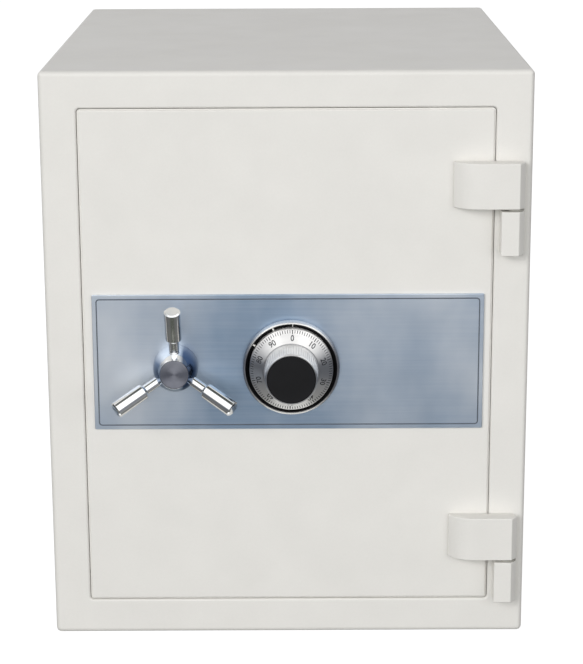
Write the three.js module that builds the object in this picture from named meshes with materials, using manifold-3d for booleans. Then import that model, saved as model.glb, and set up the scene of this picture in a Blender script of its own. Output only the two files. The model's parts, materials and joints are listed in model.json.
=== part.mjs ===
// Fireproof document box: a free-standing steel cabinet filled with insulation, with a stepped
// door on two pin hinges, a three-spoke handle that throws round bolts, and a dial lock.
// Millimetres. +Z is up, the door faces -Y, and the origin is the centre of the base.
import * as THREE from "three";
import { mergeVertices } from "three/addons/utils/BufferGeometryUtils.js";
import Module from "manifold-3d";

const wasm = await Module();
wasm.setup();

// ---- Driving dimensions ----
const WIDTH = 430;
const HEIGHT = 520;
const DEPTH = 510;
const CASING_SHEET = 2.5;
const EDGE_RADIUS = 4.5;
const FRAME = 32.5; // width of the front frame round the door
const LIP_DEPTH = 23.7; // how far the frame's inner edge is folded back
const FIT = 0.3; // gap between two pieces that touch
const PAST = 1; // how far a cutting tool runs past the face that it opens

const DOOR_GAP = 1.5;
const DOOR_CORNER = 2;
const DOOR_SKIN_DEPTH = 18;
const SKIN_SHEET = 2.5;
const PAN_SHEET = 2;

// Half sizes across X and Z of the stepped doorway, from the front to the back.
const narrowed = (half, inset) => ({ x: half.x - inset, z: half.z - inset });
const MOUTH = { x: WIDTH / 2 - FRAME, z: HEIGHT / 2 - FRAME };
const STEP_1 = narrowed(MOUTH, 9.5);
const STEP_2 = narrowed(MOUTH, 19.5);
const CAVITY = narrowed(MOUTH, 23.5);
const JAMB_SHEET = 2;
const JAMB_FRONT = 24;
const JAMB_STEP = 48;
const JAMB_BACK = 92;
const LINER_SHEET = 1.6;
const CAVITY_BACK = 455;
const BACK_PANEL_BACK = DEPTH - 0.5;

// Half sizes of the stepped door plug.
const PLUG_1 = { x: 168, z: 213 };
const PLUG_2 = { x: 153.5, z: 203 };
const PAN_FLANGE_FRONT = DOOR_SKIN_DEPTH + FIT;
const PAN_FLANGE_INSET = 0.5;
const PLUG_STEP = 44;
const PAN_BACK = 86;
const COVER_RIM = 14; // width of the pan's rim, which carries the cover
const COVER_INSET = 0.5;
const COVER_BACK = 88.3;
const SCREW = { x: 146, rise: 195, r: 2.5, length: 6, headR: 4.8, headHeight: 2.3 };
const SEAL = { outer: 1, inner: 6.5, clearance: 0.6 };

// Hinges: the pin stands in front of the frame, on the right.
const HINGE_X = 200;
const HINGE_DEPTH = -8;
const BARREL_R = 7.7;
const WASHER_R = 7.2;
const PIN_R = 4;
const PIN_COVER = 5; // solid end of a leaf above its pin
const PIN_FLOOR = 4; // solid end of a knuckle below its pin
const LEAF_LEFT = 146;
const LEAF_TAPER = 24; // length of the curve at the leaf's left end
const LEAF_TIP = 3; // thickness left at the start of that curve
const KNUCKLE_LEFT = 187;
const HINGES = [
  { name: "upper", leaf: [399.8, 440.5], knuckle: [358.2, 397.8] },
  { name: "lower", leaf: [75, 115.4], knuckle: [34, 72.9] },
];

// Front plate, handle and dial.
const PLATE = { left: -173.4, right: 174.6, bottom: 197.5, top: 321.8, back: -FIT, thick: 2 };
const PLATE_FRONT = PLATE.back - PLATE.thick;
const HANDLE = { x: -99.7, z: 256.4, shaftR: 7, tubeR: 9.7 };
const HUB = { front: -31, frontR: 13.6, baseR: 20.2, seatR: 12.9, seat: 1.8, boreEnd: -14.3 };
const HUB_SWELL = 3; // how fast the bell widens behind its front
const CAP_SET_BACK = 0.1;
const SPOKE_TILT = THREE.MathUtils.degToRad(24);
const SPOKE_TURN = 0.3; // degrees that the whole handle is turned at rest
const SPOKE_START = { r: 9, depth: -16.6 };
const SPOKE_LENGTH = 55.6;
const GRIP_LENGTH = 31;
const GRIP_R = 7.2;
const GRIP_STEP = { rise: 1.2, inset: 0.8 };
const GRIP_EDGE = 0.6;
const ROD_R = 4.5;
const DIAL = { x: 3.4, z: 256.1, r: 37.2, ringR: 43.15, shaftR: 4, tubeR: 6.5, tubeFront: -4.5 };
const SHAFT_PLAY = 0.4; // gap round a shaft that turns in a tube

// Boltwork: the handle's crank pin drives the carrier by a slot.
const CRANK_R = 22;
const CRANK_ARM = { front: 57, back: 62, hubR: 10.5, endR: 7.2 };
const CRANK_REST = THREE.MathUtils.degToRad(30); // to the right of straight up
const CRANK_PIN_R = 4;
const CRANK_PIN_X = HANDLE.x + CRANK_R * Math.sin(CRANK_REST);
const CRANK_PIN_Z = HANDLE.z + CRANK_R * Math.cos(CRANK_REST);
const SLOT_CLEARANCE = 0.6;
const BOLTWORK_PLATE = { front: 44.3, back: 47.3 };
const BOLT_DEPTH = 67;
const BOLT_R = 10;
const BOLT_NOSE = 1.5;
const BOLT_TIP = -152.5;
const BOLT_LENGTH = 35.2;
const BOLT_PLAY = 0.4;
const BOLT_HEIGHTS = [120, 260, 400];
const GUIDE = { right: -140, front: 54, back: 80, halfHeight: 15 };
const DEAD_BOLT = { r: 9, root: 138, tip: 172, heights: [150, 370] };
const CARRIER = { front: 48.5, back: 52.5 };
const CARRIER_BAR = { left: -128, right: -109, bottom: 102, top: 418 };
const CARRIER_PAD = { right: -74, bottom: 266, top: 344 };
const CARRIER_ARM = { right: 0, bottom: 324, top: 344 };
const BOLT_TAB = { left: BOLT_TIP + BOLT_LENGTH + FIT, thick: 5, half: 11 };

// Where the bolts enter the doorway and the troughs behind it.
const JAMB_BOLT_PLAY = 2;
const DEAD_BOLT_SLOT = { ahead: 13.2, behind: 12, halfHeight: 11 };
const KEEPER = { wall: 1.5, near: STEP_2.x + JAMB_SHEET + FIT, far: STEP_2.x + 19 };
const KEEPER_SPAN = { front: 52, back: 86, halfHeight: 165 };

// Combination lock.
const LOCK = { left: -26.6, right: 33.4, bottom: 225.1, top: 308.1, front: 47.6, back: 78.6 };
const LOCK_WALL = 2.5;
const CAM = { front: 68, back: 73, r: 17 };
const WHEEL_R = 16.5;
const WHEEL_FRONTS = [53, 57.5, 62];
const WHEEL_THICK = 3;
const WHEEL_POST = { r: 6, back: CAM.front - 1.5 };
const GATE = { bottom: DIAL.z + 1, top: DIAL.z + 8, deep: 4 };
const LOCK_BOLT = { left: -22, right: -10, front: 50.6, back: 62.6, bottom: 280, top: 310.5 };
const LOCK_BOLT_PLAY = 0.4;
const LUG = { left: LOCK_BOLT.right + 1, width: 8, back: 60, bottom: 311.5, top: 326 };
const LEVER = { front: LOCK_BOLT.back + FIT, back: LOCK_BOLT.back + 4.3, bottom: 250, top: 292 };
const LEVER_STEM = 4;
const LEVER_HEAD_BOTTOM = 281;
const FENCE = { left: LOCK_BOLT.left + 3, right: LOCK_BOLT.left + 7.6, bottom: 258.5, top: 262 };
const NOSE = { bottom: 251, top: 255, back: CAM.back - 0.5 };

// Shelf and its rails.
const SHELF = { half: 155.5, front: 112, back: 440, top: 275, sheet: 1.5, edge: 17 };
const RAIL = { front: 125, back: 428, height: 24, ledge: 15 };

// ---- Finishes ----
const finish = (color, roughness, metalness) =>
  new THREE.MeshStandardMaterial({ color, roughness, metalness });
const FINISHES = {
  paint: finish(0xe2e1dc, 0.55, 0),
  linerPaint: finish(0xd9d8d2, 0.6, 0),
  bluedSteel: finish(0x8193a4, 0.35, 1),
  chrome: finish(0xdfe1e4, 0.12, 1),
  silver: finish(0xc9cbce, 0.3, 1),
  zinc: finish(0xb4b8bb, 0.4, 1),
  brass: finish(0xc9a650, 0.35, 1),
  black: finish(0x242425, 0.35, 0),
  capGrey: finish(0x5c5c63, 0.35, 1),
  insulation: finish(0xbfbcb2, 0.95, 0),
  seal: finish(0x3b3a38, 0.85, 0),
};

// ---- Solids ----
// Depth is measured back from the front face of the door.
const yAt = (depth) => depth - DEPTH / 2;
const MID_Z = HEIGHT / 2;

function solid(geometry) {
  const bare = geometry.index ? geometry.toNonIndexed() : geometry.clone();
  bare.deleteAttribute("normal");
  bare.deleteAttribute("uv");
  const merged = mergeVertices(bare, 1e-4);
  const mesh = new wasm.Mesh({
    numProp: 3,
    vertProperties: merged.attributes.position.array,
    triVerts: new Uint32Array(merged.index.array),
  });
  return new wasm.Manifold(mesh);
}

const join = (first, ...others) => others.reduce((all, other) => all.add(other), first);
const cut = (body, ...tools) => tools.reduce((left, tool) => left.subtract(tool), body);

function box([x0, x1], [depth0, depth1], [z0, z1]) {
  const geometry = new THREE.BoxGeometry(x1 - x0, depth1 - depth0, z1 - z0);
  geometry.translate((x0 + x1) / 2, yAt((depth0 + depth1) / 2), (z0 + z1) / 2);
  return solid(geometry);
}

// A box centred on the door, from its half sizes across X and Z.
function slab(half, depths, grow = 0) {
  const x = half.x + grow;
  const z = half.z + grow;
  return box([-x, x], depths, [MID_Z - z, MID_Z + z]);
}

function roundedRectangle(halfX, halfZ, radius) {
  const shape = new THREE.Shape();
  const x = halfX - radius;
  const z = halfZ - radius;
  shape.absarc(x, MID_Z - z, radius, -Math.PI / 2, 0, false);
  shape.absarc(x, MID_Z + z, radius, 0, Math.PI / 2, false);
  shape.absarc(-x, MID_Z + z, radius, Math.PI / 2, Math.PI, false);
  shape.absarc(-x, MID_Z - z, radius, Math.PI, 1.5 * Math.PI, false);
  shape.closePath();
  return shape;
}

// A pair of X limits on the left (side -1) or the right (side 1), from the middle outwards.
const sideSpan = (side, near, far) => (side < 0 ? [-far, -near] : [near, far]);

// A flat outline in X and Z, made solid between two depths.
function plate(shape, [depth0, depth1], curveSegments = 4) {
  const options = { depth: depth1 - depth0, bevelEnabled: false, curveSegments };
  const geometry = new THREE.ExtrudeGeometry(shape, options);
  geometry.rotateX(Math.PI / 2);
  geometry.translate(0, yAt(depth1), 0);
  return solid(geometry);
}

function cylinderAlongY(radius, [depth0, depth1], x, z, segments = 32) {
  const geometry = new THREE.CylinderGeometry(radius, radius, depth1 - depth0, segments);
  geometry.translate(x, yAt((depth0 + depth1) / 2), z);
  return solid(geometry);
}

function cylinderAlongX(radius, [x0, x1], depth, z, segments = 20) {
  const geometry = new THREE.CylinderGeometry(radius, radius, x1 - x0, segments);
  geometry.rotateZ(Math.PI / 2);
  geometry.translate((x0 + x1) / 2, yAt(depth), z);
  return solid(geometry);
}

function cylinderAlongZ(radius, [z0, z1], x, depth, segments = 24) {
  const geometry = new THREE.CylinderGeometry(radius, radius, z1 - z0, segments);
  geometry.rotateX(Math.PI / 2);
  geometry.translate(x, yAt(depth), (z0 + z1) / 2);
  return solid(geometry);
}

// A turned piece about its own Y axis, from (radius, height) points in either order.
function turned(points, segments = 32) {
  const closed = [...points, points[0]];
  let area = 0;
  for (let i = 0; i < points.length; i += 1) {
    area += closed[i][0] * closed[i + 1][1] - closed[i + 1][0] * closed[i][1];
  }
  const ordered = area < 0 ? closed.reverse() : closed;
  return new THREE.LatheGeometry(ordered.map(([r, h]) => new THREE.Vector2(r, h)), segments);
}

// A turned piece about a line along Y: the heights are depths.
function turnedAlongY(points, x, z, segments = 32) {
  const geometry = turned(points, segments);
  geometry.translate(x, yAt(0), z);
  return solid(geometry);
}

// ---- Scene ----
const root = new THREE.Group();

function addPart(name, body, material) {
  const { vertProperties, triVerts } = body.getMesh();
  const indexed = new THREE.BufferGeometry();
  indexed.setAttribute("position", new THREE.BufferAttribute(vertProperties, 3));
  indexed.setIndex(new THREE.BufferAttribute(triVerts, 1));
  const geometry = indexed.toNonIndexed();
  geometry.computeVertexNormals();
  const mesh = new THREE.Mesh(geometry, material.clone());
  mesh.name = name;
  root.add(mesh);
}

// ---- Cabinet ----
function outerCasing() {
  const half = { x: WIDTH / 2, z: HEIGHT / 2 };
  const innerRadius = EDGE_RADIUS - CASING_SHEET;
  const outside = plate(roundedRectangle(half.x, half.z, EDGE_RADIUS), [0, DEPTH]);
  const inside = plate(
    roundedRectangle(half.x - CASING_SHEET, half.z - CASING_SHEET, innerRadius),
    [CASING_SHEET, DEPTH + PAST],
  );
  const lip = slab(MOUTH, [0, LIP_DEPTH], CASING_SHEET);
  return cut(join(cut(outside, inside), lip), slab(MOUTH, [-PAST, LIP_DEPTH + PAST]));
}

function casingFilling(depths) {
  const inset = CASING_SHEET + FIT;
  const shape = roundedRectangle(WIDTH / 2 - inset, HEIGHT / 2 - inset, EDGE_RADIUS - CASING_SHEET);
  return plate(shape, depths);
}

const backPanel = () => casingFilling([BACK_PANEL_BACK - CASING_SHEET, BACK_PANEL_BACK]);

// The room of a bolt keeper, drawn in by inset everywhere but at its open near side.
function keeperBlock(side, near, inset) {
  const { front, back, halfHeight } = KEEPER_SPAN;
  const x = sideSpan(side, near, KEEPER.far - inset);
  const z = [MID_Z - halfHeight + inset, MID_Z + halfHeight - inset];
  return box(x, [front + inset, back - inset], z);
}

// A steel trough behind the doorway's side wall, which keeps the insulation off the bolts.
function boltKeeper(side) {
  const outside = keeperBlock(side, KEEPER.near, 0);
  return cut(outside, keeperBlock(side, KEEPER.near - PAST, KEEPER.wall));
}

function bodyInsulation() {
  const block = casingFilling([CASING_SHEET + FIT, BACK_PANEL_BACK - CASING_SHEET - FIT]);
  return cut(
    block,
    slab(MOUTH, [0, JAMB_FRONT + JAMB_SHEET + FIT], CASING_SHEET + FIT),
    slab(STEP_1, [0, JAMB_STEP + JAMB_SHEET + FIT], JAMB_SHEET + FIT),
    slab(STEP_2, [0, JAMB_BACK + FIT + LINER_SHEET + FIT], JAMB_SHEET + FIT),
    slab(CAVITY, [0, CAVITY_BACK + LINER_SHEET + FIT], LINER_SHEET + FIT),
    keeperBlock(-1, KEEPER.near - PAST, -FIT),
    keeperBlock(1, KEEPER.near - PAST, -FIT),
  );
}

function doorJamb() {
  const walls = join(
    slab(MOUTH, [JAMB_FRONT, JAMB_FRONT + JAMB_SHEET], CASING_SHEET),
    slab(STEP_1, [JAMB_FRONT, JAMB_STEP + JAMB_SHEET], JAMB_SHEET),
    slab(STEP_2, [JAMB_STEP, JAMB_BACK], JAMB_SHEET),
  );
  const wall = [STEP_2.x - PAST, STEP_2.x + JAMB_SHEET + PAST];
  const boltHoles = BOLT_HEIGHTS.map((z) =>
    cylinderAlongX(BOLT_R + JAMB_BOLT_PLAY, [-wall[1], -wall[0]], BOLT_DEPTH, z),
  );
  const { ahead, behind, halfHeight } = DEAD_BOLT_SLOT;
  const slotDepths = [BOLT_DEPTH - ahead, BOLT_DEPTH + behind];
  const deadBoltSlots = DEAD_BOLT.heights.map((z) =>
    box(wall, slotDepths, [z - halfHeight, z + halfHeight]),
  );
  return cut(
    walls,
    slab(STEP_1, [JAMB_FRONT - PAST, JAMB_STEP]),
    slab(STEP_2, [JAMB_STEP - PAST, JAMB_BACK + PAST]),
    ...boltHoles,
    ...deadBoltSlots,
  );
}

function innerLiner() {
  const front = JAMB_BACK + FIT;
  const shell = join(
    slab(STEP_2, [front, front + LINER_SHEET], JAMB_SHEET),
    slab(CAVITY, [front, CAVITY_BACK + LINER_SHEET], LINER_SHEET),
  );
  return cut(shell, slab(CAVITY, [front - PAST, CAVITY_BACK]));
}

function shelf() {
  const { half, front, back, top, sheet, edge } = SHELF;
  const outside = box([-half, half], [front, back], [top - edge, top]);
  const under = box(
    [-half - PAST, half + PAST],
    [front + sheet, back - sheet],
    [top - edge - PAST, top - sheet],
  );
  return cut(outside, under);
}

function shelfRail(side) {
  const top = SHELF.top - SHELF.sheet - FIT;
  const wall = CAVITY.x - FIT;
  const depths = [RAIL.front, RAIL.back];
  return join(
    box(sideSpan(side, wall - SHELF.sheet, wall), depths, [top - RAIL.height, top]),
    box(sideSpan(side, wall - RAIL.ledge, wall), depths, [top - SHELF.sheet, top]),
  );
}

// ---- Hinges ----
// Plan of a hinge piece: round at the pin, and square or drawn down in a curve at its left end.
function barrelOutline(left, taper) {
  const front = HINGE_DEPTH - BARREL_R;
  const back = HINGE_DEPTH + BARREL_R;
  const shape = new THREE.Shape();
  shape.moveTo(HINGE_X, yAt(front));
  shape.absarc(HINGE_X, yAt(HINGE_DEPTH), BARREL_R, -Math.PI / 2, Math.PI / 2, false);
  shape.lineTo(left, yAt(back));
  if (taper) {
    shape.lineTo(left, yAt(back - LEAF_TIP));
    shape.quadraticCurveTo(left + taper / 3, yAt(front), left + taper, yAt(front));
  } else {
    shape.lineTo(left, yAt(front));
  }
  shape.closePath();
  return shape;
}

function upright(shape, [z0, z1]) {
  const options = { depth: z1 - z0, bevelEnabled: false, curveSegments: 10 };
  const geometry = new THREE.ExtrudeGeometry(shape, options);
  geometry.translate(0, 0, z0);
  return solid(geometry);
}

const pinBore = (span) => cylinderAlongZ(PIN_R + FIT, span, HINGE_X, HINGE_DEPTH);

function hingeLeaf({ leaf }) {
  const body = upright(barrelOutline(LEAF_LEFT, LEAF_TAPER), leaf);
  return cut(body, pinBore([leaf[0] - PAST, leaf[1] - PIN_COVER]));
}

function frameKnuckle({ knuckle }) {
  const body = upright(barrelOutline(KNUCKLE_LEFT, 0), knuckle);
  return cut(body, pinBore([knuckle[0] + PIN_FLOOR, knuckle[1] + PAST]));
}

function hingePin({ leaf, knuckle }) {
  const span = [knuckle[0] + PIN_FLOOR + FIT, leaf[1] - PIN_COVER - 2 * FIT];
  return cylinderAlongZ(PIN_R, span, HINGE_X, HINGE_DEPTH);
}

function thrustWasher({ leaf, knuckle }) {
  const span = [knuckle[1] + FIT, leaf[0] - FIT];
  const ring = cylinderAlongZ(WASHER_R, span, HINGE_X, HINGE_DEPTH);
  return cut(ring, pinBore([span[0] - PAST, span[1] + PAST]));
}

// ---- Door ----
const DOOR = { x: MOUTH.x - DOOR_GAP, z: MOUTH.z - DOOR_GAP };
const handleTubeHole = (depths) =>
  cylinderAlongY(HANDLE.tubeR + FIT, depths, HANDLE.x, HANDLE.z, 24);
const dialTubeHole = (depths) => cylinderAlongY(DIAL.tubeR + FIT, depths, DIAL.x, DIAL.z, 24);

function doorSkin() {
  const outside = plate(roundedRectangle(DOOR.x, DOOR.z, DOOR_CORNER), [0, DOOR_SKIN_DEPTH]);
  const inside = slab(DOOR, [SKIN_SHEET, DOOR_SKIN_DEPTH + PAST], -SKIN_SHEET);
  const through = [-PAST, SKIN_SHEET + PAST];
  return cut(outside, inside, handleTubeHole(through), dialTubeHole(through));
}

function doorInsulation() {
  const front = SKIN_SHEET + FIT;
  const block = join(
    slab(DOOR, [front, DOOR_SKIN_DEPTH], -SKIN_SHEET - FIT),
    slab(PLUG_1, [front, PLUG_STEP - FIT], -PAN_SHEET - FIT),
  );
  const through = [front - PAST, PLUG_STEP];
  return cut(block, handleTubeHole(through), dialTubeHole(through));
}

const COVER_SCREWS = [
  { corner: "top_left", x: -SCREW.x, z: MID_Z + SCREW.rise },
  { corner: "top_right", x: SCREW.x, z: MID_Z + SCREW.rise },
  { corner: "bottom_left", x: -SCREW.x, z: MID_Z - SCREW.rise },
  { corner: "bottom_right", x: SCREW.x, z: MID_Z - SCREW.rise },
];
const screwHoles = (depths) =>
  COVER_SCREWS.map(({ x, z }) => cylinderAlongY(SCREW.r + FIT, depths, x, z, 16));

function doorInnerPan() {
  const walls = join(
    slab(DOOR, [PAN_FLANGE_FRONT, PAN_FLANGE_FRONT + PAN_SHEET], -PAN_FLANGE_INSET),
    slab(PLUG_1, [PAN_FLANGE_FRONT, PLUG_STEP + PAN_SHEET]),
    slab(PLUG_2, [PLUG_STEP, PAN_BACK]),
  );
  const wall = [PLUG_2.x - PAN_SHEET - PAST, PLUG_2.x + PAST];
  const boltHoles = BOLT_HEIGHTS.map((z) =>
    cylinderAlongX(BOLT_R + BOLT_PLAY, [-wall[1], -wall[0]], BOLT_DEPTH, z),
  );
  const deadBoltHoles = DEAD_BOLT.heights.map((z) =>
    cylinderAlongX(DEAD_BOLT.r + FIT, wall, BOLT_DEPTH, z),
  );
  const rimFront = PAN_BACK - PAN_SHEET;
  return cut(
    walls,
    slab(PLUG_1, [PAN_FLANGE_FRONT - PAST, PLUG_STEP], -PAN_SHEET),
    slab(PLUG_2, [PLUG_STEP - PAST, rimFront], -PAN_SHEET),
    slab(PLUG_2, [rimFront - PAST, PAN_BACK + PAST], -COVER_RIM),
    ...boltHoles,
    ...deadBoltHoles,
    ...screwHoles([rimFront - PAST, PAN_BACK + PAST]),
  );
}

function boltworkPlate() {
  const depths = [BOLTWORK_PLATE.front, BOLTWORK_PLATE.back];
  const through = [depths[0] - PAST, depths[1] + PAST];
  const sheet = slab(PLUG_2, depths, -PAN_SHEET - FIT);
  return cut(sheet, handleTubeHole(through), dialTubeHole(through));
}

function innerCover() {
  const sheet = slab(PLUG_2, [PAN_BACK + FIT, COVER_BACK], -COVER_INSET);
  return cut(sheet, ...screwHoles([PAN_BACK - PAST, COVER_BACK + PAST]));
}

function coverScrew(x, z) {
  const { r, length, headR, headHeight } = SCREW;
  const tip = PAN_BACK - length;
  const head = COVER_BACK + FIT;
  const points = [
    [0, tip],
    [r, tip],
    [r, head],
    [headR, head],
    [headR, head + 0.4 * headHeight],
    [headR * 0.67, head + headHeight],
    [0, head + headHeight],
  ];
  return turnedAlongY(points, x, z, 18);
}

function doorSeal() {
  const depths = [PAN_FLANGE_FRONT + PAN_SHEET + FIT, JAMB_FRONT - SEAL.clearance];
  const inner = slab(DOOR, [depths[0] - PAST, depths[1] + PAST], -SEAL.inner);
  return cut(slab(DOOR, depths, -SEAL.outer), inner);
}

function escutcheonPlate() {
  const { left, right, bottom, top, back } = PLATE;
  const sheet = box([left, right], [PLATE_FRONT, back], [bottom, top]);
  const through = [PLATE_FRONT - PAST, back + PAST];
  return cut(sheet, handleTubeHole(through), dialTubeHole(through));
}

function spindleTube(at, depths) {
  const through = [depths[0] - PAST, depths[1] + PAST];
  const bore = cylinderAlongY(at.shaftR + SHAFT_PLAY, through, at.x, at.z, 24);
  return cut(cylinderAlongY(at.tubeR, depths, at.x, at.z, 24), bore);
}

function boltGuide(z) {
  const { right, front, back, halfHeight } = GUIDE;
  const left = -PLUG_2.x + PAN_SHEET + FIT;
  const block = box([left, right], [front, back], [z - halfHeight, z + halfHeight]);
  const through = [left - PAST, right + PAST];
  return cut(block, cylinderAlongX(BOLT_R + BOLT_PLAY, through, BOLT_DEPTH, z));
}

const deadBolt = (z) =>
  cylinderAlongX(DEAD_BOLT.r, [DEAD_BOLT.root, DEAD_BOLT.tip], BOLT_DEPTH, z);

// ---- Handle ----
function spokeFrame(index) {
  const turn = THREE.MathUtils.degToRad(90 + SPOKE_TURN + 120 * index);
  const outward = new THREE.Vector3(Math.cos(turn), 0, Math.sin(turn));
  const along = outward.clone().multiplyScalar(Math.cos(SPOKE_TILT));
  along.y = -Math.sin(SPOKE_TILT);
  const start = outward.multiplyScalar(SPOKE_START.r);
  start.add(new THREE.Vector3(HANDLE.x, yAt(SPOKE_START.depth), HANDLE.z));
  const turnTo = new THREE.Quaternion().setFromUnitVectors(new THREE.Vector3(0, 1, 0), along);
  return new THREE.Matrix4().compose(start, turnTo, new THREE.Vector3(1, 1, 1));
}

function spoke(index) {
  const neck = SPOKE_LENGTH - GRIP_LENGTH;
  const points = [
    [0, 0],
    [ROD_R, 0],
    [ROD_R, neck],
    [GRIP_R - GRIP_STEP.inset, neck],
    [GRIP_R, neck + GRIP_STEP.rise],
    [GRIP_R, SPOKE_LENGTH - GRIP_EDGE],
    [GRIP_R - GRIP_EDGE, SPOKE_LENGTH],
    [0, SPOKE_LENGTH],
  ];
  return solid(turned(points, 20).applyMatrix4(spokeFrame(index)));
}

function spokeSocket(index) {
  const reach = ROD_R + FIT;
  const points = [[0, -FIT], [reach, -FIT], [reach, SPOKE_LENGTH], [0, SPOKE_LENGTH]];
  return solid(turned(points, 16).applyMatrix4(spokeFrame(index)));
}

// The bell of the hub widens from its front to its base, fast at first.
function bellSide(base, steps = 8) {
  return Array.from({ length: steps + 1 }, (_, step) => {
    const share = step / steps;
    const growth = 1 - (1 - share) ** HUB_SWELL;
    return [
      HUB.frontR + (HUB.baseR - HUB.frontR) * growth,
      HUB.front + (base - HUB.front) * share,
    ];
  });
}

function handleHub() {
  const { front, seatR, seat, boreEnd } = HUB;
  const base = PLATE_FRONT - FIT;
  const boreR = HANDLE.shaftR + FIT;
  const points = [
    [0, front + seat],
    [seatR, front + seat],
    [seatR, front + FIT],
    ...bellSide(base),
    [boreR, base],
    [boreR, boreEnd],
    [0, boreEnd],
  ];
  const body = turnedAlongY(points, HANDLE.x, HANDLE.z, 32);
  return cut(body, ...[0, 1, 2].map(spokeSocket));
}

function handleCap() {
  const depths = [HUB.front + CAP_SET_BACK, HUB.front + HUB.seat - FIT];
  return cylinderAlongY(HUB.seatR - FIT, depths, HANDLE.x, HANDLE.z, 40);
}

const handleSpindle = () =>
  cylinderAlongY(HANDLE.shaftR, [HUB.boreEnd + FIT, CRANK_ARM.back + PAST], HANDLE.x, HANDLE.z, 24);

// Arm and pin, forged as one. The arm leans to the right of straight up at rest, and its sides
// are the straight lines that touch both of its round ends.
function crank() {
  const { front, back, hubR, endR } = CRANK_ARM;
  const lean = Math.asin((hubR - endR) / CRANK_R);
  const shape = new THREE.Shape();
  shape.absarc(0, 0, hubR, Math.PI - lean, lean, false);
  shape.absarc(0, CRANK_R, endR, lean, Math.PI - lean, false);
  shape.closePath();
  const options = { depth: back - front, bevelEnabled: false, curveSegments: 14 };
  const arm = new THREE.ExtrudeGeometry(shape, options);
  arm.rotateX(Math.PI / 2);
  arm.rotateY(CRANK_REST);
  arm.translate(HANDLE.x, yAt(back), HANDLE.z);
  const pinDepths = [BOLTWORK_PLATE.back + 2 * FIT, front + PAST];
  const pin = cylinderAlongY(CRANK_PIN_R, pinDepths, CRANK_PIN_X, CRANK_PIN_Z, 20);
  const through = [front - PAST, back + PAST];
  const bore = cylinderAlongY(HANDLE.shaftR + FIT, through, HANDLE.x, HANDLE.z, 24);
  return cut(join(solid(arm), pin), bore);
}

// ---- Boltwork ----
// The slot in the carrier is as wide as the crank pin's clearance, and tall enough for its arc.
function crankSlot() {
  const reach = CRANK_PIN_R + SLOT_CLEARANCE;
  return box(
    [CRANK_PIN_X - reach, CRANK_PIN_X + reach],
    [CARRIER.front - PAST, CARRIER.back + PAST],
    [CRANK_PIN_Z - reach, HANDLE.z + CRANK_R + reach],
  );
}

function boltTab(z) {
  const { left, thick, half } = BOLT_TAB;
  return box([left, left + thick], [CARRIER.front, BOLT_DEPTH + half], [z - half, z + half]);
}

// An upright bar with a tab behind each bolt, a pad with the crank's slot, and an arm whose lug
// the lock bolt stops.
function boltCarrier() {
  const depths = [CARRIER.front, CARRIER.back];
  const from = CARRIER_BAR.left;
  const sheet = join(
    box([from, CARRIER_BAR.right], depths, [CARRIER_BAR.bottom, CARRIER_BAR.top]),
    box([from, CARRIER_PAD.right], depths, [CARRIER_PAD.bottom, CARRIER_PAD.top]),
    box([from, CARRIER_ARM.right], depths, [CARRIER_ARM.bottom, CARRIER_ARM.top]),
  );
  const lugX = [LUG.left, LUG.left + LUG.width];
  const lug = box(lugX, [CARRIER.front, LUG.back], [LUG.bottom, LUG.top]);
  return cut(join(sheet, lug, ...BOLT_HEIGHTS.map(boltTab)), crankSlot());
}

function liveBolt(z) {
  const points = [
    [0, 0],
    [BOLT_R, 0],
    [BOLT_R, BOLT_LENGTH - BOLT_NOSE],
    [BOLT_R - BOLT_NOSE, BOLT_LENGTH],
    [0, BOLT_LENGTH],
  ];
  const geometry = turned(points, 28);
  geometry.rotateZ(Math.PI / 2);
  geometry.translate(BOLT_TIP + BOLT_LENGTH, yAt(BOLT_DEPTH), z);
  return solid(geometry);
}

// ---- Dial ----
function dialRing() {
  const back = PLATE_FRONT - FIT;
  const points = [
    [DIAL.tubeR + FIT, back],
    [DIAL.ringR, back],
    [DIAL.ringR, -9.5],
    [DIAL.ringR - 0.9, -12.4],
    [DIAL.ringR - 2.1, -12.4],
    [DIAL.ringR - 2.8, -5],
    [DIAL.tubeR + FIT, -5],
  ];
  return turnedAlongY(points, DIAL.x, DIAL.z, 48);
}

function dialKnob() {
  const points = [
    [0, -45.7],
    [21.7, -45.7],
    [21.7, -47.6],
    [22.3, -47.6],
    [22.9, -46.6],
    [24.3, -21.5],
    [25.4, -19.6],
    [36.5, -14.3],
    [DIAL.r, -13.6],
    [DIAL.r, -6],
    [DIAL.shaftR + FIT, -6],
    [DIAL.shaftR + FIT, -20],
    [0, -20],
  ];
  return turnedAlongY(points, DIAL.x, DIAL.z, 48);
}

function knobFace() {
  const points = [[0, -46], [21.4, -46], [21.4, -47.8], [20.9, -48.3], [0, -48.3]];
  return turnedAlongY(points, DIAL.x, DIAL.z, 48);
}

const dialSpindle = () =>
  cylinderAlongY(DIAL.shaftR, [-19.7, CAM.back + 1.5], DIAL.x, DIAL.z, 20);

// The gate is a notch in the rim that faces the lever at rest.
function gatedDisc(radius, boreR, depths) {
  const through = [depths[0] - PAST, depths[1] + PAST];
  const disc = cylinderAlongY(radius, depths, DIAL.x, DIAL.z, 36);
  const bore = cylinderAlongY(boreR, through, DIAL.x, DIAL.z, 20);
  const rim = DIAL.x - radius;
  const gate = box([rim - PAST, rim + GATE.deep], through, [GATE.bottom, GATE.top]);
  return cut(disc, bore, gate);
}

const driveCam = () => gatedDisc(CAM.r, DIAL.shaftR + FIT, [CAM.front, CAM.back]);
const wheel = (front) =>
  gatedDisc(WHEEL_R, WHEEL_POST.r + SHAFT_PLAY, [front, front + WHEEL_THICK]);

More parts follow.
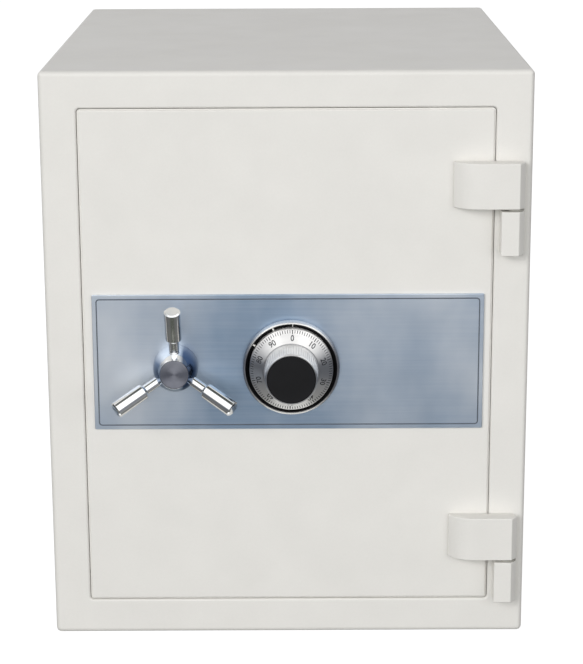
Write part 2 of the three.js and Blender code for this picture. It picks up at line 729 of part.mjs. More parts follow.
// ---- Lock ----
// The case is open at the back. Its post carries the wheels and is bored for the dial's spindle.
function lockCase() {
  const { left, right, bottom, top, front, back } = LOCK;
  const outside = box([left, right], [front, back], [bottom, top]);
  const inside = box(
    [left + LOCK_WALL, right - LOCK_WALL],
    [front + LOCK_WALL, back + PAST],
    [bottom + LOCK_WALL, top - LOCK_WALL],
  );
  const post = cylinderAlongY(WHEEL_POST.r, [front, WHEEL_POST.back], DIAL.x, DIAL.z, 24);
  const boreDepths = [front - PAST, WHEEL_POST.back + PAST];
  const bore = cylinderAlongY(DIAL.shaftR + SHAFT_PLAY, boreDepths, DIAL.x, DIAL.z, 20);
  const boltHole = box(
    [LOCK_BOLT.left - LOCK_BOLT_PLAY, LOCK_BOLT.right + LOCK_BOLT_PLAY],
    [LOCK_BOLT.front - LOCK_BOLT_PLAY, LOCK_BOLT.back + LOCK_BOLT_PLAY],
    [top - LOCK_WALL - PAST, top + PAST],
  );
  return cut(join(cut(outside, inside), post), bore, boltHole);
}

const lockCover = () =>
  box([LOCK.left, LOCK.right], [LOCK.back + FIT, LOCK.back + LOCK_WALL], [LOCK.bottom, LOCK.top]);

function lockBolt() {
  const { left, right, front, back, bottom, top } = LOCK_BOLT;
  return box([left, right], [front, back], [bottom, top]);
}

// The lever hangs from the lock bolt, with its fence beside the wheels and its nose by the cam.
function leverAndFence() {
  const { left, right } = LOCK_BOLT;
  const depths = [LEVER.front, LEVER.back];
  const fenceX = [FENCE.left, FENCE.right];
  const fenceDepths = [WHEEL_FRONTS[0] - SHAFT_PLAY, LEVER.back];
  return join(
    box([left, left + LEVER_STEM], depths, [LEVER.bottom, LEVER.top]),
    box([left, right], depths, [LEVER_HEAD_BOTTOM, LEVER.top]),
    box(fenceX, fenceDepths, [FENCE.bottom, FENCE.top]),
    box(fenceX, [LEVER.front, NOSE.back], [NOSE.bottom, NOSE.top]),
  );
}

// ---- Assembly ----
function addCabinet() {
  const { paint, linerPaint, zinc, insulation } = FINISHES;
  addPart("outer_casing", outerCasing(), paint);
  addPart("back_panel", backPanel(), paint);
  addPart("body_insulation", bodyInsulation(), insulation);
  addPart("door_jamb", doorJamb(), linerPaint);
  addPart("inner_liner", innerLiner(), linerPaint);
  addPart("left_bolt_keeper", boltKeeper(-1), zinc);
  addPart("right_bolt_keeper", boltKeeper(1), zinc);
  addPart("shelf", shelf(), linerPaint);
  addPart("left_shelf_rail", shelfRail(-1), linerPaint);
  addPart("right_shelf_rail", shelfRail(1), linerPaint);
  for (const hinge of HINGES) {
    addPart(`${hinge.name}_frame_knuckle`, frameKnuckle(hinge), paint);
    addPart(`${hinge.name}_hinge_pin`, hingePin(hinge), zinc);
    addPart(`${hinge.name}_thrust_washer`, thrustWasher(hinge), zinc);
  }
}

function addDoor() {
  const { paint, linerPaint, bluedSteel, zinc, brass, chrome, insulation, seal } = FINISHES;
  addPart("door_skin", doorSkin(), paint);
  addPart("door_insulation", doorInsulation(), insulation);
  addPart("door_inner_pan", doorInnerPan(), linerPaint);
  addPart("boltwork_plate", boltworkPlate(), zinc);
  addPart("inner_cover", innerCover(), linerPaint);
  addPart("door_seal", doorSeal(), seal);
  addPart("escutcheon_plate", escutcheonPlate(), bluedSteel);
  const tubeBack = BOLTWORK_PLATE.back - FIT;
  addPart("handle_spindle_tube", spindleTube(HANDLE, [PLATE_FRONT, tubeBack]), zinc);
  addPart("dial_spindle_tube", spindleTube(DIAL, [DIAL.tubeFront, tubeBack]), zinc);
  addPart("dial_ring", dialRing(), chrome);
  addPart("lock_case", lockCase(), zinc);
  addPart("lock_cover", lockCover(), zinc);
  for (const hinge of HINGES) {
    addPart(`${hinge.name}_hinge_leaf`, hingeLeaf(hinge), paint);
  }
  BOLT_HEIGHTS.forEach((z, i) => addPart(`bolt_guide_${i + 1}`, boltGuide(z), brass));
  DEAD_BOLT.heights.forEach((z, i) => addPart(`dead_bolt_${i + 1}`, deadBolt(z), chrome));
  for (const { corner, x, z } of COVER_SCREWS) {
    addPart(`cover_screw_${corner}`, coverScrew(x, z), zinc);
  }
}

function addHandle() {
  const { chrome, capGrey, zinc } = FINISHES;
  addPart("handle_hub", handleHub(), chrome);
  addPart("handle_cap", handleCap(), capGrey);
  for (let i = 0; i < 3; i += 1) {
    addPart(`handle_spoke_${i + 1}`, spoke(i), chrome);
  }
  addPart("handle_spindle", handleSpindle(), zinc);
  addPart("crank", crank(), zinc);
}

function addBoltwork() {
  const { chrome, zinc } = FINISHES;
  addPart("bolt_carrier", boltCarrier(), zinc);
  BOLT_HEIGHTS.forEach((z, i) => addPart(`live_bolt_${i + 1}`, liveBolt(z), chrome));
}

function addLockWorks() {
  const { silver, black, brass, zinc } = FINISHES;
  addPart("dial_knob", dialKnob(), silver);
  addPart("knob_face", knobFace(), black);
  addPart("dial_spindle", dialSpindle(), zinc);
  addPart("drive_cam", driveCam(), brass);
  WHEEL_FRONTS.forEach((front, i) => addPart(`lock_wheel_${i + 1}`, wheel(front), brass));
  addPart("lock_bolt", lockBolt(), brass);
  addPart("lever_and_fence", leverAndFence(), zinc);
}

addCabinet();
addDoor();
addHandle();
addBoltwork();
addLockWorks();

export default root;
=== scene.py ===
import json
from math import cos, hypot, pi, radians, sin, tan

import bmesh
import bpy
from mathutils import Matrix, Vector
from mathutils.geometry import tessellate_polygon


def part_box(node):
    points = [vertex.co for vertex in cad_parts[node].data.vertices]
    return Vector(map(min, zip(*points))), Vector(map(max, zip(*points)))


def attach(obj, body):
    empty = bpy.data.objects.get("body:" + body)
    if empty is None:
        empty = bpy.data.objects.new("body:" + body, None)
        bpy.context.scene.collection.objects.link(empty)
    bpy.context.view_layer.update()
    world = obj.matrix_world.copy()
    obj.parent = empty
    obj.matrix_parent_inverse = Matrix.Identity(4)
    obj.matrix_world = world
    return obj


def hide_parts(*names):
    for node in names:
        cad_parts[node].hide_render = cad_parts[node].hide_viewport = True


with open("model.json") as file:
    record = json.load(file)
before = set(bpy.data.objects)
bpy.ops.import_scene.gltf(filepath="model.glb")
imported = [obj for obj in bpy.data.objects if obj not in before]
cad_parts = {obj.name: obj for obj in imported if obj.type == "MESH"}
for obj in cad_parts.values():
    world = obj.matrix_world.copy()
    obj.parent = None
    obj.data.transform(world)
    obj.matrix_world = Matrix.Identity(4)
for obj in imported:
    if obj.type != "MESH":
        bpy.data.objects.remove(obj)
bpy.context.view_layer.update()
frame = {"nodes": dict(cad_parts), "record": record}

scene = bpy.context.scene
MM = 0.001
FACE_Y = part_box("door_skin")[0].y


def at(x, depth, z):
    return Vector((x * MM, FACE_Y + depth * MM, z * MM))


def extent(node):
    """A node's (low, high) pairs in x, depth and z, in millimetres."""
    low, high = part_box(node)
    shift = Vector((0, FACE_Y, 0))
    return list(zip((low - shift) / MM, (high - shift) / MM))


def add_object(name, data):
    obj = bpy.data.objects.new(name, data)
    scene.collection.objects.link(obj)
    return obj


def middle(pair):
    return (pair[0] + pair[1]) / 2


def half_of(pair):
    return (pair[1] - pair[0]) / 2


def axis_of(node):
    """The x and z of a node's middle."""
    across, _, heights = extent(node)
    return middle(across), middle(heights)


CASING_X, CASING_DEPTH, CASING_Z = extent("outer_casing")
DOOR_X, DOOR_DEPTH, DOOR_Z = extent("door_skin")
MID_Z = middle(CASING_Z)
CASING_HALF = (CASING_X[1], CASING_Z[1] - MID_Z)
DOOR_HALF = (DOOR_X[1], DOOR_Z[1] - MID_Z)
DOOR_GAP = 1.5
SHEET = 2.5
DOOR_CORNER = 1.8
MOUTH_HALF = (DOOR_HALF[0] + DOOR_GAP, DOOR_HALF[1] + DOOR_GAP)
FRAME_WIDTH = CASING_HALF[0] - MOUTH_HALF[0]
JAMB_SHEET = 2
LINER_SHEET = 1.6
PAN_SHEET = 2

HANDLE_X, HANDLE_Z = axis_of("handle_cap")
DIAL_X, DIAL_Z = axis_of("dial_ring")
CLEARANCE = 0.3
HANDLE_HOLE_R = extent("handle_spindle_tube")[0][1] - HANDLE_X + CLEARANCE
DIAL_HOLE_R = extent("dial_spindle_tube")[0][1] - DIAL_X + CLEARANCE
SHAFT_HOLES = ((HANDLE_X, HANDLE_Z, HANDLE_HOLE_R), (DIAL_X, DIAL_Z, DIAL_HOLE_R))


# ---- Materials ----
def srgb(red, green, blue):
    """Linear colour of an 8-bit sRGB one."""
    linear = [((c / 255 + 0.055) / 1.055) ** 2.4 if c > 10 else c / 3294 for c in (red, green, blue)]
    return (*linear, 1)


class Graph:
    """A tree of shader nodes. Each method adds nodes and returns an output to feed to others."""

    def __init__(self, tree):
        self.nodes, self.links = tree.nodes, tree.links

    def feed(self, socket, value):
        if isinstance(value, bpy.types.NodeSocket):
            self.links.new(value, socket)
        else:
            socket.default_value = value

    def add(self, kind, inputs, output, **settings):
        node = self.nodes.new("ShaderNode" + kind)
        for setting, value in settings.items():
            setattr(node, setting, value)
        for socket, value in inputs.items():
            self.feed(node.inputs[socket], value)
        return node.outputs[output]

    def span(self, value, low, high, start=0.3, end=0.7):
        """value, from start to end, made into low to high."""
        inputs = {"Value": value, "From Min": start, "From Max": end, "To Min": low, "To Max": high}
        return self.add("MapRange", inputs, "Result")

    def math(self, operation, first, second=0.0):
        return self.add("Math", {0: first, 1: second}, "Value", operation=operation)

    def blend(self, share, first, second, mode="MIX"):
        node = self.nodes.new("ShaderNodeMix")
        node.data_type = "RGBA"
        node.blend_type = mode
        colours = [socket for socket in node.inputs if socket.type == "RGBA"]
        for socket, value in zip((node.inputs[0], *colours), (share, first, second)):
            self.feed(socket, value)
        return next(socket for socket in node.outputs if socket.type == "RGBA")

    def parts(self, vector):
        """The X, Y and Z outputs of a vector."""
        node = self.nodes.new("ShaderNodeSeparateXYZ")
        self.feed(node.inputs[0], vector)
        return node.outputs


class Surface(Graph):
    """A Principled material."""

    def __init__(self, name, metallic=0.0, **sockets):
        self.material = bpy.data.materials.new(name)
        self.material.use_nodes = True
        super().__init__(self.material.node_tree)
        self.shader = self.nodes["Principled BSDF"]
        self.shader.inputs["Metallic"].default_value = metallic
        for socket, value in sockets.items():
            self.shader.inputs[socket.replace("_", " ")].default_value = value
        self.place = self.nodes.new("ShaderNodeTexCoord").outputs["Object"]

    def noise(self, size, detail=3.0, stretch=(1, 1, 1), place=None):
        """Cloudy noise from 0 to 1, with features of that size in millimetres."""
        scale = [1 / (size * MM * s) for s in stretch]
        spot = self.add("Mapping", {"Vector": place or self.place, "Scale": scale}, "Vector")
        return self.add("TexNoise", {"Vector": spot, "Scale": 1.0, "Detail": detail}, "Fac")

    def tones(self, share, shade, colour):
        """One of two 8-bit sRGB colours or between, as a cloudy share says."""
        return self.blend(self.span(share, 0, 1), srgb(*shade), srgb(*colour))

    def fade(self, axis, start, end, low=0, high=1):
        """low to high between two places along X, Y or Z, in millimetres."""
        return self.span(self.parts(self.place)[axis], low, high, start * MM, end * MM)

    def steepness(self):
        """How far the surface faces up or down in the room, 0 to 1, whatever has turned it."""
        return self.math("ABSOLUTE", self.parts(self.add("NewGeometry", {}, "Normal"))["Z"])

    def bump(self, height, millimetres, normal=None):
        """Relief of that height. A second call takes the first one's output as its normal."""
        inputs = {"Height": height, "Distance": millimetres * MM, "Strength": 1.0}
        if normal is not None:
            inputs["Normal"] = normal
        return self.add("Bump", inputs, "Normal")

    def around(self, x, z):
        """Place in cylindrical terms round an axis along the depth: (radius, depth, 0)."""
        ends = {0: self.place, 1: at(x, 0, z)}
        parts = self.parts(self.add("VectorMath", ends, "Vector", operation="SUBTRACT"))
        flat = self.add("CombineXYZ", {"X": parts["X"], "Y": parts["Z"]}, "Vector")
        radius = self.add("VectorMath", {0: flat}, "Value", operation="LENGTH")
        return self.add("CombineXYZ", {"X": radius, "Y": parts["Y"]}, "Vector")

    def done(self, colour, roughness, normal):
        looks = {"Base Color": colour, "Roughness": roughness, "Normal": normal}
        for socket, value in looks.items():
            self.feed(self.shader.inputs[socket], value)
        return self.material


def powder_coat(name, colour, shade, gloss, peel):
    """Satin baked paint: fine orange peel, a soft mottle and slightly uneven gloss."""
    s = Surface(name, Coat_Weight=0.12, Coat_Roughness=0.3)
    mottle = s.noise(38, 4)
    specks = s.noise(2.2, 2)
    tone = s.math("ADD", s.math("MULTIPLY", mottle, 0.7), s.math("MULTIPLY", specks, 0.3))
    colours = s.tones(tone, shade, colour)
    roughness = s.span(s.noise(55, 3), gloss - 0.05, gloss + 0.06)
    grain = s.bump(s.noise(1.3, 2), peel)
    waves = s.bump(s.noise(7, 1), peel * 2.2, grain)
    return s.done(colours, roughness, waves)


def blued_steel():
    """The front plate: fine horizontal brushing under a cold blue tint, with painted reflection making it
    paler at both ends and darker at the foot, deepest near the middle.
    """
    s = Surface("blued_brushed_steel", metallic=1.0, Anisotropic=0.35, Anisotropic_Rotation=0.25)
    strokes = s.noise(0.5, 4, stretch=(60, 1, 1))
    long_strokes = s.noise(2.5, 3, stretch=(45, 1, 1))
    clouds = s.noise(60, 3, stretch=(1, 1, 1.6))
    # Painted reflection: the tint is paler towards the left and right ends and darker towards the foot.
    left_painted_reflection = s.fade("X", -62, -135, high=0.78)
    right_painted_reflection = s.fade("X", -5, 60, high=0.5)
    foot_painted_reflection = s.fade("Z", 198, 240, low=0.18, high=0)
    ends = s.math("SUBTRACT", s.math("ADD", left_painted_reflection, right_painted_reflection), foot_painted_reflection)
    tint_and_painted_reflection = s.math("ADD", ends, s.span(clouds, -0.2, 0.3))
    cold, pale = srgb(156, 179, 205), srgb(236, 243, 252)
    tint = s.blend(s.span(tint_and_painted_reflection, 0, 1, 0, 1), cold, pale)
    lit = s.blend(s.span(long_strokes, 0.0, 0.14), tint, srgb(244, 249, 254))
    roughness = s.math("ADD", s.span(strokes, 0.34, 0.42), s.span(s.noise(26, 4), -0.02, 0.05))
    normal = s.bump(strokes, 0.005)
    return s.done(lit, roughness, s.bump(s.noise(70, 1), 0.1, normal))


def chrome():
    """Polished plating, with faint smears and hair scratches."""
    s = Surface("chrome_plating", metallic=1.0)
    smears = s.noise(16, 5)
    scratches = s.noise(0.7, 3, stretch=(1, 1, 14))
    colours = s.tones(smears, (226, 229, 232), (243, 243, 241))
    roughness = s.math("ADD", s.span(smears, 0.035, 0.09), s.span(scratches, 0, 0.03))
    return s.done(colours, roughness, s.bump(scratches, 0.0012))


# The painted dark reflection on the hub's left flank, then on its right one: where it sets in, as offsets
# in x and in z from the handle's axis, and its colour.
HUB_PAINTED_REFLECTIONS = (((-7, -13), (8, 15), (126, 144, 170)), ((4, 8), (17, 27), (84, 100, 126)))


def hub_plating():
    """Polished plating of the bell hub, with a cold dark reflection painted on its two flanks."""
    s = Surface("hub_plating", metallic=1.0)
    smears = s.noise(16, 5)
    colours = s.tones(smears, (234, 238, 243), (248, 249, 250))
    # Each pass paints a dark reflection on one flank, set in by x and by height.
    for sides, heights, cast in HUB_PAINTED_REFLECTIONS:
        outwards = s.fade("X", *(HANDLE_X + offset for offset in sides))
        downwards = s.fade("Z", *(HANDLE_Z + rise for rise in heights), low=1, high=0)
        colours = s.blend(s.math("MULTIPLY", outwards, downwards), colours, srgb(*cast))
    return s.done(colours, s.span(smears, 0.05, 0.11), s.bump(smears, 0.002))


def turned_metal(name, x, z, colour, shade, gloss, metallic=1.0, sides=None, flanks=None):
    """Metal finished on a lathe: rings of tool marks that spread its highlights into fans.

    sides paints a dark reflection on it from 24 to 38 mm to the left and right of its axis, and
    flanks paints one wherever it faces sideways.
    """
    s = Surface(name, metallic, Anisotropic=0.95, Anisotropic_Rotation=0.25)
    tangent = s.add("Tangent", {}, "Tangent", direction_type="RADIAL", axis="Y")
    s.feed(s.shader.inputs["Tangent"], tangent)
    polar = s.around(x, z)
    rings = s.noise(0.28, 3, place=polar)
    bands = s.noise(2.4, 2, place=polar)
    stain = s.noise(14, 4)
    colours = s.tones(stain, shade, colour)
    # Painted reflection: darker to the left and right of the axis.
    if sides:
        offset = s.math("ABSOLUTE", s.math("SUBTRACT", s.parts(s.place)["X"], x * MM))
        colours = s.blend(s.span(offset, 0, 1, 24 * MM, 38 * MM), colours, srgb(*sides))
    # Painted reflection: darker wherever the surface faces sideways in the room.
    if flanks:
        colours = s.blend(s.span(s.steepness(), 1, 0, 0.1, 0.45), colours, srgb(*flanks))
    roughness = s.math("ADD", s.span(rings, gloss - 0.04, gloss + 0.05), s.span(bands, -0.02, 0.04))
    return s.done(colours, roughness, s.bump(rings, 0.004))


def worked_metal(name, colour, shade, gloss):
    """Plain machined or plated steel and brass, with mill marks and cloudy staining."""
    s = Surface(name, metallic=1.0)
    marks = s.noise(0.6, 3, stretch=(9, 9, 1))
    stain = s.noise(11, 5)
    colours = s.blend(s.span(stain, 0, 1, 0.35, 0.65), srgb(*shade), srgb(*colour))
    roughness = s.math("ADD", s.span(marks, gloss - 0.05, gloss + 0.07), s.span(stain, 0, 0.08))
    return s.done(colours, roughness, s.bump(marks, 0.012))


def smooth_enamel(name, colour, shade, gloss):
    """Dense paint or moulding: even colour with dust-fine grain."""
    s = Surface(name, Specular_IOR_Level=0.25)
    grain = s.noise(0.8, 3)
    film = s.noise(18, 4)
    colours = s.tones(film, shade, colour)
    roughness = s.math("ADD", s.span(grain, gloss - 0.03, gloss + 0.04), s.span(film, 0, 0.05))
    return s.done(colours, roughness, s.bump(grain, 0.004))


def cast_filling():
    """Rough cast gypsum concrete with air pits."""
    s = Surface("cast_insulation")
    lumps = s.noise(9, 6)
    pits = s.add("TexVoronoi", {"Vector": s.place, "Scale": 1 / (4 * MM)}, "Distance")
    colours = s.tones(lumps, (168, 163, 150), (204, 200, 188))
    rough = s.bump(lumps, 0.6)
    return s.done(colours, s.span(pits, 0.98, 0.85, 0, 0.4), s.bump(pits, 0.5, rough))


def seal_strip():
    """Matt graphite fire seal with a woven grain."""
    s = Surface("graphite_seal")
    weave = s.add("TexWave", {"Vector": s.place, "Scale": 1 / (1.6 * MM), "Distortion": 1.5}, "Fac")
    dust = s.noise(6, 5)
    colours = s.tones(dust, (44, 43, 42), (72, 70, 67))
    return s.done(colours, s.span(dust, 0.75, 0.95), s.bump(weave, 0.05))


HUB_METAL = hub_plating()
# The ring's left and right carry a painted dark reflection.
RING_METAL = turned_metal(
    "ring_satin_chrome", DIAL_X, DIAL_Z, (244, 244, 243), (232, 232, 231), 0.2,
    metallic=0.7, sides=(140, 142, 148),
)
BLACK = smooth_enamel("black_enamel", (22, 22, 24), (18, 18, 20), 0.42)
INK = smooth_enamel("engraving_ink", (52, 54, 58), (42, 43, 46), 0.5)
GROOVE_INK = smooth_enamel("groove_ink", (104, 112, 124), (92, 99, 110), 0.5)
WHITE_INK = smooth_enamel("index_white_ink", (238, 237, 232), (226, 225, 219), 0.45)
# The washers' dull grey is painted shade, so the thin gap between leaf and knuckle reads dark.
WASHER_PAINTED_SHADE = smooth_enamel("washer_painted_shade", (176, 174, 166), (154, 152, 144), 0.5)

SLOT_FINISHES = {
    "body_paint": powder_coat("body_powder_coat", (237, 235, 230), (232, 230, 225), 0.42, 0.010),
    "interior_paint": powder_coat("interior_powder_coat", (221, 219, 211), (214, 212, 203), 0.5, 0.016),
    "satin_steel_plate": blued_steel(),
    "chrome": chrome(),
    # flanks: painted dark reflection where the cone faces sideways.
    "dial_silver": turned_metal(
        "dial_satin_chrome", DIAL_X, DIAL_Z, (254, 253, 252), (240, 239, 238), 0.36, flanks=(186, 187, 190)
    ),
    "dark_cap": turned_metal(
        "cap_dark_plating", HANDLE_X, HANDLE_Z, (160, 162, 173), (140, 142, 153), 0.36
    ),
    "black_enamel": BLACK,
    "zinc_steel": worked_metal("zinc_plated_steel", (205, 208, 208), (176, 180, 182), 0.33),
    "brass": worked_metal("machined_brass", (214, 180, 104), (186, 148, 76), 0.3),
    "seal": seal_strip(),
    "insulation": cast_filling(),
}


# ---- Shapes ----
SHARP_ANGLE = 32


def filleted(corners, closed=False, steps=6):
    """An outline of (u, v) points from (u, v, radius) corners, each rounded to its radius."""
    outline = []
    count = len(corners)
    for index, (u, v, radius) in enumerate(corners):
        corner = Vector((u, v))
        if not radius or (not closed and index in (0, count - 1)):
            outline.append(corner)
            continue
        before = (Vector(corners[index - 1][:2]) - corner).normalized()
        after = (Vector(corners[(index + 1) % count][:2]) - corner).normalized()
        half = before.angle(after) / 2
        start = corner + before * (radius / tan(half))
        end = corner + after * (radius / tan(half))
        centre = corner + (before + after).normalized() * (radius / sin(half))
        for step in range(steps + 1):
            spoke = start.lerp(end, step / steps) - centre
            outline.append(centre + spoke.normalized() * radius)
    return outline


def rounded_loop(half, radius, depth, centre=(0, MID_Z)):
    """Points of a rounded rectangle across x and z, at one depth."""
    points = []
    steps = 7
    for quarter, (side, rise) in enumerate(((1, -1), (1, 1), (-1, 1), (-1, -1))):
        x = centre[0] + side * (half[0] - radius)
        z = centre[1] + rise * (half[1] - radius)
        for step in range(steps + 1):
            angle = radians(90 * (quarter - 1 + step / steps))
            points.append(at(x + radius * cos(angle), depth, z + radius * sin(angle)))
    return points


def circle_loop(x, z, radius, depth):
    steps = 40
    angles = [2 * pi * step / steps for step in range(steps)]
    return [at(x + radius * cos(a), depth, z + radius * sin(a)) for a in angles]


def along_depth(x, z):
    """Maps a turned piece's own (u, v, height) so that its height runs back in depth."""
    return lambda u, v, height: at(x + u, height, z + v)


def along_x(depth, z):
    return lambda u, v, height: at(height, depth + u, z + v)


def along_z(x, depth):
    return lambda u, v, height: at(x + u, depth + v, height)


class Shape:
    """Gathers one piece's loops of points and the faces between them."""

    def __init__(self):
        self.mesh = bmesh.new()

    def loop(self, points):
        return [self.mesh.verts.new(point) for point in points]

    def skin(self, loops, closed=False, paint=0):
        """Faces between each loop and the next. A loop of one point is a pole."""
        pairs = list(zip(loops, loops[1:]))
        if closed:
            pairs.append((loops[-1], loops[0]))
        for first, second in pairs:
            count = max(len(first), len(second))
            for here in range(count):
                there = (here + 1) % count
                ring = [first[here % len(first)], first[there % len(first)]]
                ring += [second[there % len(second)], second[here % len(second)]]
                face = self.mesh.faces.new(list(dict.fromkeys(ring)))
                face.material_index = paint

    def fill(self, outline, holes=()):
        if not holes:
            self.mesh.faces.new(outline)
            return
        rings = [[vert.co for vert in ring] for ring in (outline, *holes)]
        verts = [vert for ring in (outline, *holes) for vert in ring]
        for corners in tessellate_polygon(rings):
            self.mesh.faces.new([verts[i] for i in corners])

    def close(self, loops):
        """Fills the first and the last of a run of loops."""
        self.fill(loops[0])
        self.fill(loops[-1])

    def prism(self, *outlines):
        """A solid that runs from one outline of points to the next."""
        loops = [self.loop(outline) for outline in outlines]
        self.skin(loops)
        self.close(loops)

    def turn(self, outline, place, steps, closed=False, ripple=None):
        """Turns an outline of (radius, height) points round the height axis of place()."""
        loops = []
        for radius, height in outline:
            if radius < 1e-6:
                loops.append(self.loop([place(0, 0, height)]))
                continue
            ring = []
            for step in range(steps):
                angle = 2 * pi * step / steps
                reach = radius + (ripple(angle, height) if ripple else 0)
                ring.append(place(reach * cos(angle), reach * sin(angle), height))
            loops.append(self.loop(ring))
        self.skin(loops, closed)

    def rod(self, radius, low, high, place, steps):
        """A plain round bar, from one height to another."""
        self.turn([(0, low), (radius, low), (radius, high), (0, high)], place, steps)

    def finish(self, name, sharp=SHARP_ANGLE):
        """The mesh as an object that is shaded smooth up to that angle."""
        bmesh.ops.recalc_face_normals(self.mesh, faces=self.mesh.faces)
        data = bpy.data.meshes.new(name)
        self.mesh.to_mesh(data)
        self.mesh.free()
        data.shade_smooth()
        data.set_sharp_from_angle(angle=radians(sharp))
        return add_object(name, data)


def turned(name, outline, place, steps, sharp=SHARP_ANGLE, **more):
    """An object turned from one outline."""
    shape = Shape()
    shape.turn(outline, place, steps, **more)
    return shape.finish(name, sharp)


def soften(obj, width, segments=2, angle=50):
    """Rounds the edges that are sharper than that angle."""
    bevel = obj.modifiers.new("edge", "BEVEL")
    bevel.width = width * MM
    bevel.segments = segments
    bevel.limit_method = "ANGLE"
    bevel.angle_limit = radians(angle)


BODIES = frame["record"]["behaviour"]["bodies"]
BODY_OF = {node: body for body, nodes in BODIES.items() for node in nodes}
SLOT_OF = {part["node"]: part["material_slot"] for part in frame["record"]["subparts"]}
LIVE_BOLTS = ("live_bolt_1", "live_bolt_2", "live_bolt_3")
DEAD_BOLTS = ("dead_bolt_1", "dead_bolt_2")
SCREWS = [node for node in sorted(BODY_OF) if node.startswith("cover_screw")]


def stand_for(obj, node, extra=()):
    """obj is the finished look of a CAD node, with its body, finish and slot."""
    slot = SLOT_OF[node]
    for material in (SLOT_FINISHES[slot], *extra):
        obj.data.materials.append(material)
    # Flat faces stay flat beside their rounded edges.
    obj.modifiers.new("weighted_normals", "WEIGHTED_NORMAL").keep_sharp = True
    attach(obj, BODY_OF[node])
    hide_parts(node)
    return obj


def drill(obj, cutter):
    """Cuts the cutter's shape out of obj and removes the cutter."""
    tool = cutter.finish("cutter")
    cut = obj.modifiers.new("cut", "BOOLEAN")
    cut.operation = "DIFFERENCE"
    cut.solver = "EXACT"
    cut.object = tool
    bpy.context.view_layer.update()
    evaluated = obj.evaluated_get(bpy.context.evaluated_depsgraph_get())
    solid = bpy.data.meshes.new_from_object(evaluated)
    obj.modifiers.clear()
    obj.data = solid
    obj.data.set_sharp_from_angle(angle=radians(SHARP_ANGLE))
    bpy.data.objects.remove(tool)
    return obj


HANDLE_AXIS = along_depth(HANDLE_X, HANDLE_Z)
DIAL_AXIS = along_depth(DIAL_X, DIAL_Z)


def bolt_axis(node):
    """Maps heights along a bolt's own axis to their places."""
    _, depths, heights = extent(node)
    return along_x(middle(depths), middle(heights))


# ---- Cabinet ----
EDGE_RADIUS = 4.5
MOUTH_EDGE = 2
MOUTH_CORNER = DOOR_CORNER + DOOR_GAP
LIP_DEPTH = 23.7
FIELD = 20


def framed_ring(shape, corners, half, corner_radius, closed=True):
    """Loops of a section given as (inset, depth, fillet) corners, carried round a rectangle."""
    loops = []
    for inset, depth in filleted(corners, closed):
        size = (half[0] - inset, half[1] - inset)
        loops.append(shape.loop(rounded_loop(size, corner_radius(inset), depth)))
    shape.skin(loops, closed)
    return loops


def framed(name, section, half, corner_radius, closed=True):
    """An object of one section carried round a rectangle. An open section's ends are filled."""
    shape = Shape()
    loops = framed_ring(shape, section, half, corner_radius, closed)
    if not closed:
        shape.close(loops)
    return shape.finish(name)


def casing_look():
    """Folded sheet casing: bent front edge, flat frame, and a lip turned in round the doorway."""
    back = CASING_DEPTH[1]
    inner = FRAME_WIDTH - SHEET
    section = [
        (0, 0, EDGE_RADIUS), (FRAME_WIDTH, 0, MOUTH_EDGE), (FRAME_WIDTH, LIP_DEPTH, 0.8),
        (inner, LIP_DEPTH, 0.8), (inner, SHEET, 0.5), (SHEET, SHEET, 2), (SHEET, back, 0.5),
        (0, back, 1.2),
    ]

    def corner_radius(inset):
        if inset > FRAME_WIDTH / 2:
            return MOUTH_CORNER + FRAME_WIDTH - inset
        return max(EDGE_RADIUS - inset, 0.4)

    stand_for(framed("casing_shell", section, CASING_HALF, corner_radius), "outer_casing")


def back_panel_look():
    """Flat rear panel with softened edges."""
    (_, half_x), (front, back), _ = extent("back_panel")
    half = (half_x, CASING_HALF[1] - (CASING_HALF[0] - half_x))
    section = [(FIELD, back, 0), (0, back, 0.9), (0, front, 0.4), (FIELD, front, 0)]
    panel = framed("rear_panel", section, half, lambda inset: max(2 - inset, 0.3), closed=False)
    stand_for(panel, "back_panel")


WALL_CUT = 4
BOLT_HOLE_R = 12
SLOT_HALF_HEIGHT = 11
SLOT_FRONT_PLAY = 4.2
SLOT_BACK_PLAY = 3
SLOT_CORNER = 3


def dead_bolt_slot(shape, node, wall):
    """A rounded slot through the doorway's right wall, longer towards the front."""
    _, (front, back), heights = extent(node)
    start, end = front - SLOT_FRONT_PLAY, back + SLOT_BACK_PLAY
    low, high = middle(heights) - SLOT_HALF_HEIGHT, middle(heights) + SLOT_HALF_HEIGHT
    corners = [(start, low), (end, low), (end, high), (start, high)]
    outline = filleted([(*corner, SLOT_CORNER) for corner in corners], closed=True)
    sides = (wall - WALL_CUT, wall + WALL_CUT)
    shape.prism(*[[at(side, depth, height) for depth, height in outline] for side in sides])


def jamb_look():
    """Stepped doorway of folded sheet, with holes for the live bolts and slots for the dead bolts."""
    front, back = extent("door_jamb")[1]
    step_1, step_2 = 9.5, 19.5
    step_depth = front + 24
    section = [
        (-SHEET, front, 0), (step_1, front, 1.6), (step_1, step_depth, 0.9),
        (step_2, step_depth, 1.6), (step_2, back, 0.5), (step_2 - JAMB_SHEET, back, 0.5),
        (step_2 - JAMB_SHEET, step_depth + JAMB_SHEET, 0),
        (step_1 - JAMB_SHEET, step_depth + JAMB_SHEET, 0),
        (step_1 - JAMB_SHEET, front + JAMB_SHEET, 0), (-SHEET, front + JAMB_SHEET, 0),
    ]
    jamb = framed("stepped_doorway", section, MOUTH_HALF, lambda inset: 2.5)
    wall = MOUTH_HALF[0] - step_2
    holes = Shape()
    for node in LIVE_BOLTS:
        holes.rod(BOLT_HOLE_R, -wall - WALL_CUT, -wall + WALL_CUT, bolt_axis(node), 48)
    for node in DEAD_BOLTS:
        dead_bolt_slot(holes, node, wall)
    stand_for(drill(jamb, holes), "door_jamb")


